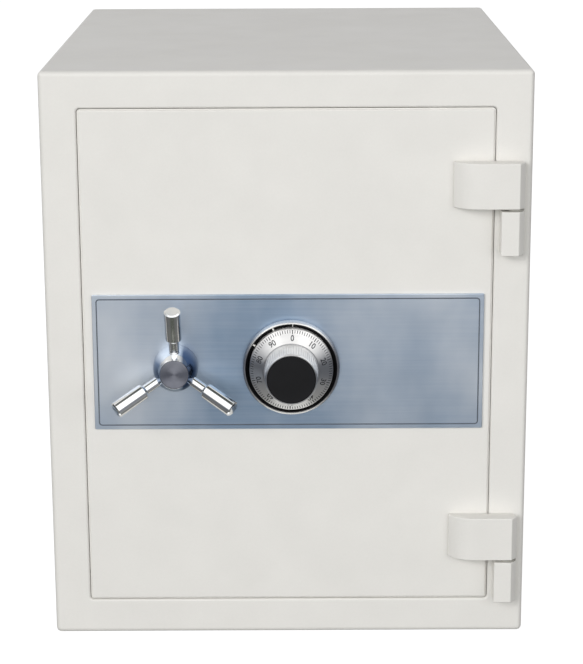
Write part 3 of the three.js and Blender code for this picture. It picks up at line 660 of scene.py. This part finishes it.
def liner_look():
    """Folded steel box that lines the compartment."""
    front, back = extent("inner_liner")[1]
    flange, inner = 17.5, 23.5
    outer = inner - LINER_SHEET
    section = [
        (inner + FIELD, back - LINER_SHEET, 0), (inner, back - LINER_SHEET, 4), (inner, front, 1.4),
        (flange, front, 0.4), (flange, front + LINER_SHEET, 0.4), (outer, front + LINER_SHEET, 0),
        (outer, back, 5), (inner + FIELD, back, 0),
    ]
    liner = framed("compartment_liner", section, MOUTH_HALF, lambda inset: 4.5, closed=False)
    stand_for(liner, "inner_liner")


def shelf_look():
    """Folded shelf: the front and back edges are turned down and hemmed inwards."""
    (left, right), (front, back), (bottom, top) = extent("shelf")
    sheet, hem = 1.5, 9
    section = [
        (front, top, 3), (back, top, 3), (back, bottom, 1.2), (back - hem, bottom, 0.3),
        (back - hem, bottom + sheet, 0.3), (back - sheet, bottom + sheet, 0.4),
        (back - sheet, top - sheet, 1.5), (front + sheet, top - sheet, 1.5),
        (front + sheet, bottom + sheet, 0.4), (front + hem, bottom + sheet, 0.3),
        (front + hem, bottom, 0.3), (front, bottom, 1.2),
    ]
    outline = filleted(section, closed=True)
    shape = Shape()
    shape.prism(*[[at(end, depth, z) for depth, z in outline] for end in (left, right)])
    shelf = shape.finish("folded_shelf")
    soften(shelf, 0.35)
    stand_for(shelf, "shelf")


# ---- Hinges ----
BARREL_R = 7.7
BARREL_FLAT = 2.6
BARREL_FACET = 14
LEAF_EDGE = 1.1
LEAF_TIP = 3
TAPER = 24
PIN_PLAY = 0.25


def hinge_plan(left, shrink, taper):
    """Plan outline of a leaf or knuckle in x and depth, drawn in all round by shrink."""
    across, depths, _ = extent("upper_hinge_pin")
    pin_x, pin_depth = middle(across), middle(depths)
    radius = BARREL_R - shrink
    front, back = pin_depth - radius, pin_depth + radius
    steps = 20
    outline = [(pin_x + BARREL_FLAT, front)]
    for step in range(steps + 1):
        angle = radians(-BARREL_FACET + (90 + BARREL_FACET) * step / steps)
        outline.append((pin_x + radius * cos(angle), pin_depth + radius * sin(angle)))
    outline.append((left + shrink, back))
    if not taper:
        outline.append((left + shrink, front))
        return outline
    start = Vector((left + shrink, back - LEAF_TIP + 2 * shrink))
    bend = Vector((left + TAPER / 3 + shrink, front))
    end = Vector((left + TAPER, front))
    for step in range(steps + 1):
        share = step / steps
        point = start.lerp(bend, share).lerp(bend.lerp(end, share), share)
        outline.append((point.x, point.y))
    return outline


def hinge_body(node, taper):
    """A leaf or knuckle block with its end faces' edges rounded over."""
    (left, _), _, (bottom, top) = extent(node)
    shape = Shape()
    rounds = 5
    loops = []
    for end, inward in ((bottom, 1), (top, -1)):
        stack = []
        for step in range(rounds + 1):
            angle = radians(90 * step / rounds)
            shrink = LEAF_EDGE * (1 - sin(angle))
            height = end + inward * LEAF_EDGE * (1 - cos(angle))
            plan = hinge_plan(left, shrink, taper)
            stack.append(shape.loop([at(x, depth, height) for x, depth in plan]))
        loops += stack if inward > 0 else stack[::-1]
    shape.skin(loops)
    shape.close(loops)
    obj = shape.finish(node + "_body", sharp=40)
    soften(obj, 0.7, segments=3)
    return obj


def hinge_looks(side):
    """One hinge: a leaf and a knuckle bored for their pin, the pin, and a washer between them."""
    pin, washer = f"{side}_hinge_pin", f"{side}_thrust_washer"
    across, depths, (bottom, top) = extent(pin)
    radius = half_of(across)
    place = along_z(middle(across), middle(depths))
    for node, taper in ((f"{side}_hinge_leaf", True), (f"{side}_frame_knuckle", False)):
        block = hinge_body(node, taper)
        bore = Shape()
        bore.rod(radius + PIN_PLAY, bottom - CLEARANCE, top + 2 * CLEARANCE, place, 40)
        stand_for(drill(block, bore), node)
    outline = filleted([(0, bottom, 0), (radius, bottom, 0.8), (radius, top, 1.4), (0, top, 0)])
    stand_for(turned(f"{side}_ground_pin", outline, place, 64), pin)
    across, _, (low, high) = extent(washer)
    inner, outer = radius + CLEARANCE, half_of(across)
    ring = [(inner, low, 0.2), (outer, low, 0.3), (outer, high, 0.3), (inner, high, 0.2)]
    outline = filleted(ring, closed=True, steps=3)
    shaded_washer = stand_for(turned(f"{side}_bearing_washer", outline, place, 64, closed=True), washer)
    # The washer takes the painted-shade grey for the gap between leaf and knuckle.
    shaded_washer.data.materials[0] = WASHER_PAINTED_SHADE


# ---- Door ----
def fill_sheet(shape, front_rim, front, back_rim, back):
    """Fills a sheet's front and back faces, with the holes for the two shafts through them."""
    front_holes, back_holes = (
        [shape.loop(circle_loop(x, z, radius, depth)) for x, z, radius in SHAFT_HOLES]
        for depth in (front, back)
    )
    shape.fill(front_rim, front_holes)
    shape.fill(back_rim, back_holes)
    for pair in zip(front_holes, back_holes):
        shape.skin(pair)


HEM_OUT = 0.95
HEM_FRONT = 1.8
HEM_LENGTH = 4


def door_skin_look():
    """The door's front tray: folded sheet with a pressed hem in the gap, and two shaft holes."""
    back = DOOR_DEPTH[1]
    hem_back = HEM_FRONT + HEM_LENGTH
    section = [
        (FIELD, 0, 0), (0, 0, 1.4), (0, HEM_FRONT, 0.2), (-HEM_OUT, HEM_FRONT, 0.3),
        (-HEM_OUT, hem_back, 0.3), (0, hem_back, 0.2), (0, back, 0.6), (SHEET, back, 0.6),
        (SHEET, SHEET, 1), (FIELD, SHEET, 0),
    ]

    def corner_radius(inset):
        return max(DOOR_CORNER - inset, 0.4)

    shape = Shape()
    loops = framed_ring(shape, section, DOOR_HALF, corner_radius, closed=False)
    fill_sheet(shape, loops[0], 0, loops[-1], SHEET)
    stand_for(shape.finish("door_front_tray"), "door_skin")


GROOVE_INSET = 3.5
GROOVE_WIDTH = 1.1
GROOVE_DEPTH = 0.45
GROOVE_CORNER = 3.2


def plate_look():
    """Front plate with softened edges and an inked groove engraved near its border."""
    across, (front, back), heights = extent("escutcheon_plate")
    centre = (middle(across), middle(heights))
    half = (half_of(across), half_of(heights))

    def ring(shape, inset, depth):
        near_groove = GROOVE_CORNER + GROOVE_INSET - inset
        radius = near_groove if inset > GROOVE_INSET / 2 else max(1.2 - inset, 0.3)
        size = (half[0] - inset, half[1] - inset)
        return shape.loop(rounded_loop(size, radius, depth, centre))

    shape = Shape()
    far = GROOVE_INSET + GROOVE_WIDTH
    floor = front + GROOVE_DEPTH
    rim = filleted([(2, back, 0), (0, back, 0.2), (0, front, 0.6), (GROOVE_INSET, front, 0)])
    rim_loops = [ring(shape, inset, depth) for inset, depth in rim]
    groove = [ring(shape, GROOVE_INSET + 0.2, floor), ring(shape, far - 0.2, floor)]
    field = ring(shape, far, front)
    shape.skin(rim_loops)
    shape.skin([rim_loops[-1], *groove, field], paint=1)
    fill_sheet(shape, field, front, rim_loops[0], back)
    stand_for(shape.finish("front_plate"), "escutcheon_plate", extra=(GROOVE_INK,))


# The tray's inner step stands this much closer to its top and bottom than to its sides. The
# difference grows between two insets.
STEP_RAISE = 4.5
RAISE_INSETS = (16, 24)
PAN_CORNER = 2.5
SCREW_HOLE_R = 2.8


def screw_holes(shape, front, back):
    for node in SCREWS:
        shape.rod(SCREW_HOLE_R, front, back, along_depth(*axis_of(node)), 32)


def pan_look():
    """Stepped inner tray of the door, with a rim turned in behind for the cover."""
    front, back = extent("door_inner_pan")[1]
    plug_1, plug_2, rim = 13, 27.5, 14
    step = 44
    section = [
        (0.5, front, 0.4), (plug_1 + PAN_SHEET, front, 0), (plug_1 + PAN_SHEET, step, 0),
        (plug_2 + PAN_SHEET, step, 0), (plug_2 + PAN_SHEET, back - PAN_SHEET, 0),
        (plug_2 + rim, back - PAN_SHEET, 0.5), (plug_2 + rim, back, 0.5), (plug_2, back, 2.2),
        (plug_2, step + PAN_SHEET, 1), (plug_1, step + PAN_SHEET, 2.2),
        (plug_1, front + PAN_SHEET, 1), (0.5, front + PAN_SHEET, 0.4),
    ]
    shape = Shape()
    loops = []
    start, end = RAISE_INSETS
    for inset, depth in filleted(section, closed=True):
        height_inset = inset - STEP_RAISE * min(max((inset - start) / (end - start), 0), 1)
        size = (DOOR_HALF[0] - inset, DOOR_HALF[1] - height_inset)
        loops.append(shape.loop(rounded_loop(size, PAN_CORNER, depth)))
    shape.skin(loops, closed=True)
    pan = shape.finish("stepped_inner_tray")
    wall = DOOR_HALF[0] - plug_2
    holes = Shape()
    for nodes, side, play in ((LIVE_BOLTS, -wall, 0.4), (DEAD_BOLTS, wall, 0.25)):
        for node in nodes:
            radius = half_of(extent(node)[2]) + play
            holes.rod(radius, side - WALL_CUT, side + WALL_CUT, bolt_axis(node), 56)
    screw_holes(holes, back - WALL_CUT, back + 1)
    stand_for(drill(pan, holes), "door_inner_pan")


def cover_look():
    """Inner cover with a pressed centre panel and screw holes in its border."""
    (_, half_x), (front, back), (_, top) = extent("inner_cover")
    half = (half_x, top - MID_Z)
    border, press, field = 17, 1.6, 60
    section = [
        (field, front + press, 0), (border + press, front + press, 1.2), (border, front, 1.2),
        (0, front, 0.3), (0, back, 0.7), (border, back, 1.2), (border + press, back + press, 1.2),
        (field, back + press, 0),
    ]

    def corner_radius(inset):
        return 9 if inset > border / 2 else 2

    cover = framed("pressed_inner_cover", section, half, corner_radius, closed=False)
    holes = Shape()
    screw_holes(holes, front - 1, back + 1)
    stand_for(drill(cover, holes), "inner_cover")


def screw_look(node):
    """Raised-head screw with a hexagon socket."""
    across, (front, back), _ = extent(node)
    place = along_depth(*axis_of(node))
    head_r = half_of(across)
    head = back - 2.3
    shank_r, socket_r, socket_floor = 2.5, 1.7, back - 1.5
    outline = filleted([
        (0, front, 0), (shank_r - 0.6, front, 0.2), (shank_r, front + 0.8, 0.2), (shank_r, head, 0),
        (head_r, head, 0.2), (head_r, head + 1, 0.5), (head_r - 1.8, back, 0.7), (0, back, 0),
    ])
    screw = turned(node + "_machined", outline, place, 48)
    socket = Shape()
    socket.rod(socket_r, socket_floor, back + 1, place, 6)
    stand_for(drill(screw, socket), node)


def seal_look():
    """Fire seal pressed on the tray's flange, with two ribs that meet the doorway."""
    front, back = extent("door_seal")[1]
    outer, inner = 1, 6.5
    base = back - 0.9
    width = inner - outer
    section = [
        (outer, front, 0.2), (inner, front, 0.2), (inner, base, 0.3),
        (inner - width * 0.12, back, 0.3), (inner - width * 0.32, back, 0.3),
        (inner - width * 0.5, base, 0.3), (outer + width * 0.32, back, 0.3),
        (outer + width * 0.12, back, 0.3), (outer, base, 0.3),
    ]
    seal = framed("ribbed_fire_seal", section, DOOR_HALF, lambda inset: 2.2)
    stand_for(seal, "door_seal")


# ---- Handle ----
HUB_FACE_R = 13.6
HUB_BASE_R = 20.2
HUB_SWELL = 3
HUB_LIP = 0.7
# The hub's bore is a radius and the depth it ends at, and its cap's seat a radius and a sinking.
HUB_BORE = (7.3, -14.3)
CAP_SEAT = (12.9, 1.8)
SPOKE_TILT = radians(24)
SPOKE_TURN = 0.3
SPOKE_START_R = 9
SPOKE_START_DEPTH = -16.6
SPOKE_LENGTH = 55.6
GRIP_LENGTH = 31
GRIP_R = 7.2
ROD_R = 4.5


def spoke_place(index):
    """Maps a spoke's own (u, v, height) to its place: outwards from the hub and tilted forward."""
    turn = radians(90 + SPOKE_TURN + 120 * index)
    outward = Vector((cos(turn), 0, sin(turn)))
    forward = Vector((0, -1, 0))
    along = outward * cos(SPOKE_TILT) + forward * sin(SPOKE_TILT)
    rise = forward * cos(SPOKE_TILT) - outward * sin(SPOKE_TILT)
    across = along.cross(rise)
    start = at(HANDLE_X, SPOKE_START_DEPTH, HANDLE_Z) + outward * SPOKE_START_R * MM
    return lambda u, v, height: start + (across * u + rise * v + along * height) * MM


def hub_look():
    """Bell-shaped hub, bored for three spokes and recessed for its cap."""
    face, base = extent("handle_hub")[1]
    seat_r, seat = CAP_SEAT[0], face + CAP_SEAT[1]
    bore, bore_end = HUB_BORE
    shoulder = face + HUB_LIP
    steps = 28
    outline = [Vector((0, seat)), Vector((seat_r, seat))]
    outline += filleted([(seat_r, seat, 0), (seat_r, face, 0.1), (seat_r + 0.25, face, 0)])[1:]
    outline.append(Vector((HUB_FACE_R, shoulder)))
    for step in range(1, steps + 1):
        share = step / steps
        swell = (HUB_BASE_R - HUB_FACE_R) * (1 - (1 - share) ** HUB_SWELL)
        outline.append(Vector((HUB_FACE_R + swell, shoulder + (base - face - HUB_LIP) * share)))
    outline += [Vector((bore, base)), Vector((bore, bore_end)), Vector((0, bore_end))]
    hub = turned("bell_hub", outline, HANDLE_AXIS, 128, sharp=28)
    sockets = Shape()
    for index in range(3):
        sockets.rod(ROD_R + CLEARANCE / 2, -CLEARANCE, 40, spoke_place(index), 48)
    hub = stand_for(drill(hub, sockets), "handle_hub")
    hub.data.materials[0] = HUB_METAL


def cap_look():
    """Dark end cap with a faint dished face."""
    across, (front, back), _ = extent("handle_cap")
    radius = half_of(across)
    outline = filleted([
        (0, front + 0.35, 0), (radius * 0.55, front + 0.28, 3), (radius - 1, front, 0.5),
        (radius, front, 0.25), (radius, back, 0.2), (0, back, 0),
    ])
    stand_for(turned("domed_cap", outline, HANDLE_AXIS, 96), "handle_cap")


def spoke_look(index):
    """Turned spoke: a slim rod that steps up to a thicker grip."""
    neck = SPOKE_LENGTH - GRIP_LENGTH
    outline = filleted([
        (0, 0, 0), (ROD_R, 0, 0.4), (ROD_R, neck - 1.3, 0.6), (GRIP_R, neck + 0.9, 0.9),
        (GRIP_R, SPOKE_LENGTH - 1.1, 0.25), (GRIP_R - 1.3, SPOKE_LENGTH, 0.2), (0, SPOKE_LENGTH, 0),
    ])
    spoke = turned(f"turned_spoke_{index + 1}", outline, spoke_place(index), 72)
    stand_for(spoke, f"handle_spoke_{index + 1}")


def bolt_look(node, tip_side):
    """Round steel bolt with a rounded nose on its left (-1) or right (1) side."""
    (left, right), _, heights = extent(node)
    radius, chamfer = half_of(heights), 1.6
    nose, tail = (left, right) if tip_side < 0 else (right, left)
    outline = filleted([
        (0, nose, 0), (radius - chamfer, nose, 0.8), (radius, nose - tip_side * chamfer, 0.8),
        (radius, tail, 0.5), (0, tail, 0),
    ])
    stand_for(turned(node + "_turned", outline, bolt_axis(node), 80), node)


# ---- Dial ----
BEZEL_IN = (37.95, -7.2)
BEZEL_OUT = (40.75, -10.6)
RING_FLOOR = -5
RIM_STEP = 0.8
RIM_UNDERCUT = 1.8
INDEX_RADII = (38.05, 40.6)
INDEX_MARKS = ((24, 1.2), (57, 1.2), (-2, 0.5))
CONE_OUT = (36.5, -14.3)
CONE_IN = (25.4, -20.5)
KNOB_TOP = (22.9, -46.6)
FLUTES = 60
FLUTE_DEPTH = 0.42
ZERO_TURN = 2
TENS = 10
MARKS = 100
# How far the front and back faces of the marks and the numbers stand proud of the cone.
MARK_FACES = (0.05, -0.12)
NUMBER_FACES = (0.06, -0.2)


def ring_look():
    """Dial ring: a bright rounded rim round a sunken black bezel."""
    across, (front, back), _ = extent("dial_ring")
    outer = half_of(across)
    rim = filleted([
        (DIAL_HOLE_R, back, 0), (outer - RIM_STEP, back, 0.1),
        (outer - RIM_STEP, back - RIM_UNDERCUT, 0.1), (outer, back - RIM_UNDERCUT, 0.2),
        (outer, front + 3.4, 1.8), (outer - RIM_STEP, front + 0.9, 1.2), (outer - 2.1, front, 0.5),
        (*BEZEL_OUT, 0),
    ], steps=8)
    bezel = filleted([
        (*BEZEL_OUT, 0), (*BEZEL_IN, 0.3), (BEZEL_IN[0], RING_FLOOR, 0.3),
        (DIAL_HOLE_R, RING_FLOOR, 0),
    ])
    shape = Shape()
    shape.turn([*rim, *bezel[1:]], DIAL_AXIS, 160, closed=True)
    edge = (BEZEL_OUT[0] + 0.02) * MM
    floor = at(0, RING_FLOOR + 0.1, 0).y
    for face in shape.mesh.faces:
        spot = face.calc_center_median()
        reach = hypot(spot.x - DIAL_X * MM, spot.z - DIAL_Z * MM)
        if reach < edge and spot.y < floor:
            face.material_index = 1
    ring = stand_for(shape.finish("bright_dial_ring"), "dial_ring", extra=(BLACK,))
    ring.data.materials[0] = RING_METAL


def index_marks():
    """White index bars let into the bezel, to the left of the top and at the top."""
    shape = Shape()
    inner, outer = INDEX_RADII
    for degrees, width in INDEX_MARKS:
        turn = radians(90 + degrees)
        out = Vector((cos(turn), sin(turn)))
        across = Vector((-out.y, out.x))
        corners = []
        for radius, side in ((inner, -1), (inner, 1), (outer, 1), (outer, -1)):
            corners.append(out * radius + across * side * width / 2)
        depths = (BEZEL_OUT[1] + 0.15, BEZEL_IN[1])
        shape.prism(*[[at(DIAL_X + c.x, depth, DIAL_Z + c.y) for c in corners] for depth in depths])
    marks = shape.finish("index_marks")
    marks.data.materials.append(WHITE_INK)
    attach(marks, "door")


def cone_point(radius, turn, proud):
    """A point on the dial's cone, at a radius and an angle clockwise from its zero mark."""
    share = (radius - CONE_IN[0]) / (CONE_OUT[0] - CONE_IN[0])
    depth = CONE_IN[1] + (CONE_OUT[1] - CONE_IN[1]) * share - proud
    angle = radians(90 - ZERO_TURN) - turn
    return at(DIAL_X + radius * cos(angle), depth, DIAL_Z + radius * sin(angle))


def flutes(angle, height):
    """What the grip's flutes add to its radius. They fade out at both ends."""
    start, end, fade_length = CONE_IN[1] - 4, KNOB_TOP[1] + 1.5, 1.5
    if not end < height < start:
        return 0
    fade = min(1, (start - height) / fade_length, (height - end) / fade_length)
    return FLUTE_DEPTH * fade * (abs(cos(angle * FLUTES / 2)) - 1)


def knob_look():
    """Dial and knob in one: a graduated cone, and a fluted grip that narrows to the front."""
    back, bore, bore_end = -6, 4.3, -20
    seat_r, seat_floor = 21.6, KNOB_TOP[1] + 0.9
    seat_rim = seat_floor - 1.9
    groove = CONE_IN[1] + 1.1
    grip_base = (24.3, -21.5)
    dial_edge = 37.2
    rows = 14
    side = [Vector(grip_base).lerp(Vector(KNOB_TOP), row / rows) for row in range(1, rows)]
    outline = [Vector((0, seat_floor)), Vector((seat_r, seat_floor))]
    outline += filleted([
        (seat_r, seat_floor, 0), (seat_r, seat_rim, 0.15), (seat_r + 0.75, seat_rim, 0.3),
        (*KNOB_TOP, 0),
    ])[1:]
    outline += side[::-1]
    outline += filleted([
        (*side[0], 0), (grip_base[0], groove, 0.1), (CONE_IN[0], groove, 0.1), (*CONE_IN, 0.15),
        (*CONE_OUT, 0.5), (dial_edge, -13.6, 0.3), (dial_edge, back, 0.4), (bore, back, 0),
    ])[1:]
    outline += [Vector((bore, bore_end)), Vector((0, bore_end))]
    knob = turned("fluted_dial_knob", outline, DIAL_AXIS, FLUTES * 6, sharp=30, ripple=flutes)
    stand_for(knob, "dial_knob")


def face_look():
    """Black disc let into the knob's front."""
    across, (front, back), _ = extent("knob_face")
    radius = half_of(across)
    outline = filleted([
        (0, front + 0.12, 0), (radius - 3, front + 0.06, 2), (radius - 0.5, front, 0.3),
        (radius, front + 0.5, 0.3), (radius, back, 0), (0, back, 0),
    ])
    stand_for(turned("black_knob_disc", outline, DIAL_AXIS, 128), "knob_face")


def graduations():
    """A hundred graduation lines round the dial's cone: the tens are the longest."""
    shape = Shape()
    outer = CONE_OUT[0] - 0.1
    for mark in range(MARKS):
        is_ten, is_five = mark % TENS == 0, mark % (TENS // 2) == 0
        length = 3.3 if is_ten else 3.0 if is_five else 2.6
        half = (0.75 if is_ten else 0.55) / 2
        inner = outer - length
        turn = 2 * pi * mark / MARKS
        corners = []
        for radius, side in ((outer, 1), (outer, -1), (inner, -1), (inner, 1)):
            corners.append((radius, turn + side * half / radius))
        shape.prism(*[[cone_point(*corner, proud) for corner in corners] for proud in MARK_FACES])
    lines = shape.finish("dial_graduations")
    lines.data.materials.append(INK)
    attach(lines, "dial")


def dial_numbers():
    """Numbers 0 to 90 by tens, engraved and inked on the cone, with their tops outwards."""
    size, base_radius, boldness = 6.5, 27.8, 0.08
    whole = bmesh.new()
    for index in range(MARKS // TENS):
        curve = bpy.data.curves.new("number", "FONT")
        curve.body = str(index * TENS)
        curve.align_x = "CENTER"
        curve.size = size
        curve.extrude = 0.1
        curve.offset = boldness
        curve.resolution_u = 6
        text = add_object("number", curve)
        bpy.context.view_layer.update()
        evaluated = text.evaluated_get(bpy.context.evaluated_depsgraph_get())
        flat = bpy.data.meshes.new_from_object(evaluated)
        turn = 2 * pi * index / TENS
        for vertex in flat.vertices:
            radius = base_radius + vertex.co.y
            proud = NUMBER_FACES[0] if vertex.co.z > 0 else NUMBER_FACES[1]
            vertex.co = cone_point(radius, turn + vertex.co.x / radius, proud)
        whole.from_mesh(flat)
        bpy.data.objects.remove(text)
        bpy.data.meshes.remove(flat)
    bmesh.ops.remove_doubles(whole, verts=whole.verts, dist=1e-6)
    bmesh.ops.recalc_face_normals(whole, faces=whole.faces)
    data = bpy.data.meshes.new("dial_numbers")
    whole.to_mesh(data)
    whole.free()
    numbers = add_object("dial_numbers", data)
    data.materials.append(INK)
    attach(numbers, "dial")


# ---- Hidden works keep their CAD shape, with broken edges and their own finish ----
def refine(node):
    """Rounds the edges of a CAD node by modifiers only, and gives it its slot's finish."""
    obj = frame["nodes"][node]
    obj.data.materials.clear()
    obj.data.materials.append(SLOT_FINISHES[SLOT_OF[node]])
    weld = obj.modifiers.new("weld", "WELD")
    weld.merge_threshold = 0.01 * MM
    merge = obj.modifiers.new("merge_flats", "DECIMATE")
    merge.decimate_type = "DISSOLVE"
    merge.angle_limit = radians(1)
    soften(obj, 0.3, angle=40)


def build_looks():
    for look in (casing_look, back_panel_look, jamb_look, liner_look, shelf_look):
        look()
    for side in ("upper", "lower"):
        hinge_looks(side)
    for look in (door_skin_look, plate_look, pan_look, cover_look, seal_look):
        look()
    for node in SCREWS:
        screw_look(node)
    hub_look()
    cap_look()
    for index, node in enumerate(LIVE_BOLTS):
        spoke_look(index)
        bolt_look(node, -1)
    for node in DEAD_BOLTS:
        bolt_look(node, 1)
    for look in (ring_look, index_marks, knob_look, face_look, graduations, dial_numbers):
        look()
    for node, obj in frame["nodes"].items():
        if not obj.hide_render:
            refine(node)


# ---- Stage ----
CAMERA_PLACE = (0.0052, -2.0383, 0.7596)
CAMERA_PITCH = 14.846
CAMERA_YAW = 0.048
CAMERA_ROLL = -0.26
CAMERA_LENS = 112.35


def add_camera():
    data = bpy.data.cameras.new("camera")
    data.lens = CAMERA_LENS
    data.sensor_width = 36
    camera = add_object("camera", data)
    aim = Matrix.Rotation(radians(CAMERA_YAW), 4, "Z")
    aim @= Matrix.Rotation(radians(90 - CAMERA_PITCH), 4, "X")
    aim @= Matrix.Rotation(radians(CAMERA_ROLL), 4, "Z")
    camera.matrix_world = Matrix.Translation(CAMERA_PLACE) @ aim
    scene.camera = camera


def add_floor():
    """A wide pale floor that is almost as bright as the backdrop."""
    shape = Shape()
    reach = 40
    corners = [(-reach, -reach), (reach, -reach), (reach, reach), (-reach, reach)]
    shape.fill(shape.loop([Vector((x, y, 0)) for x, y in corners]))
    floor = shape.finish("floor")
    surface = Surface("pale_floor", Emission_Strength=0.88, Emission_Color=(1, 1, 1, 1))
    grain = surface.noise(3, 3)
    colour = surface.blend(grain, srgb(150, 150, 150), srgb(156, 156, 156))
    floor.data.materials.append(surface.done(colour, 0.9, surface.bump(grain, 0.02)))
    floor.visible_diffuse = False
    floor.visible_glossy = False


LIGHT_AIM = Vector((0, -0.2, 0.2))


def add_light(name, place, side, power):
    """A square softbox. It isn't seen in polished surfaces, which have the panels."""
    data = bpy.data.lights.new(name, "AREA")
    data.shape = "RECTANGLE"
    data.size = side
    data.size_y = side
    data.energy = power
    light = add_object(name, data)
    light.location = place
    light.rotation_euler = (LIGHT_AIM - Vector(place)).to_track_quat("-Z", "Y").to_euler()
    light.visible_glossy = False


# Colours of the studio by height: each row is a height, from straight down (0) to straight up (1),
# and its red, green and blue. Matt surfaces are lit by an even room. Polished ones show white
# panels above, walls, and a dark floor.
ROOM_STRENGTH = 1.12
ROOM = (
    (0, 0.07, 0.075, 0.06), (0.22, 0.13, 0.135, 0.12), (0.33, 0.56, 0.565, 0.57),
    (0.46, 0.67, 0.675, 0.68), (0.56, 0.93, 0.93, 0.935), (0.7, 1, 1, 1), (0.84, 0.39, 0.39, 0.395),
    (1, 0.13, 0.13, 0.135),
)
PANEL_STRENGTH = 1.4
MIDDLE_PANELS = (
    (0, 1, 1, 0.98), (0.047, 1, 1, 0.98), (0.053, 0.075, 0.08, 0.065), (0.16, 0.065, 0.07, 0.055),
    (0.25, 0.11, 0.11, 0.105), (0.33, 0.26, 0.265, 0.27), (0.375, 0.41, 0.415, 0.42),
    (0.49, 0.5, 0.505, 0.51), (0.54, 1, 1, 1), (0.95, 1, 1, 1), (0.968, 0.1, 0.105, 0.1),
    (1, 0.05, 0.055, 0.05),
)
SIDE_PANELS = (
    (0, 1, 1, 0.98), (0.047, 1, 1, 0.98), (0.053, 0.1, 0.1, 0.095), (0.12, 0.12, 0.12, 0.115),
    (0.25, 0.22, 0.22, 0.22), (0.33, 0.16, 0.17, 0.19), (0.49, 0.18, 0.19, 0.21), (0.53, 1, 1, 1),
    (0.95, 1, 1, 1), (0.968, 0.1, 0.1, 0.1), (1, 0.05, 0.05, 0.05),
)


class Sky(Graph):
    """The world's node tree, built from the direction that a ray leaves in."""

    def __init__(self, name):
        self.world = bpy.data.worlds.new(name)
        self.world.use_nodes = True
        super().__init__(self.world.node_tree)
        self.nodes.clear()
        self.towards = self.parts(self.add("TexCoord", {}, "Generated"))

    def ramp(self, share, stops):
        node = self.nodes.new("ShaderNodeValToRGB")
        self.links.new(share, node.inputs["Fac"])
        elements = node.color_ramp.elements
        while len(elements) < len(stops):
            elements.new(0.5)
        for element, (position, *colour) in zip(elements, stops):
            element.position = position
            element.color = (*colour, 1)
        return node.outputs["Color"]

    def shade(self, colour, direction, start, end, low, high):
        """colour, times low to high from start to end of a direction."""
        return self.blend(1.0, colour, self.span(direction, low, high, start, end), "MULTIPLY")

    def mix(self, share, first, second):
        return self.add("MixShader", {0: share, 1: first, 2: second}, "Shader")

    def background(self, colour, strength):
        return self.add("Background", {"Color": colour, "Strength": strength}, "Background")


def add_world():
    """The room for matt surfaces, the panels for polished ones, and a white backdrop."""
    sky = Sky("studio")
    across, away = sky.towards["X"], sky.towards["Y"]
    height = sky.span(sky.towards["Z"], 0, 1, -1, 1)
    room = sky.shade(sky.ramp(height, ROOM), across, -0.85, -0.5, 0.15, 1)
    room = sky.shade(room, across, 0.4, 0.7, 1, 0.42)
    sideways = sky.span(sky.math("ABSOLUTE", across), 0, 1, 0.14, 0.42)
    panels = sky.blend(sideways, sky.ramp(height, MIDDLE_PANELS), sky.ramp(height, SIDE_PANELS))
    panels = sky.shade(panels, across, -0.9, -0.6, 0.4, 1)
    panels = sky.shade(panels, across, 0.8, 0.93, 1, 0.12)
    panels = sky.shade(panels, away, 0, 0.35, 1, 0.6)
    backdrop = sky.background((1, 1, 1, 1), 1.0)
    path = sky.nodes.new("ShaderNodeLightPath").outputs
    lights = (sky.background(room, ROOM_STRENGTH), sky.background(panels, PANEL_STRENGTH))
    lit = sky.mix(path["Is Glossy Ray"], *lights)
    seen = sky.mix(path["Is Camera Ray"], lit, backdrop)
    sky.feed(sky.nodes.new("ShaderNodeOutputWorld").inputs["Surface"], seen)
    scene.world = sky.world


scene.view_settings.view_transform = "Standard"
build_looks()
add_camera()
add_floor()
add_world()
add_light("key_softbox", (-2.5, -3.8, 2.0), side=2, power=98)
add_light("fill_softbox", (1.7, -2.3, 0.5), side=1.6, power=14)
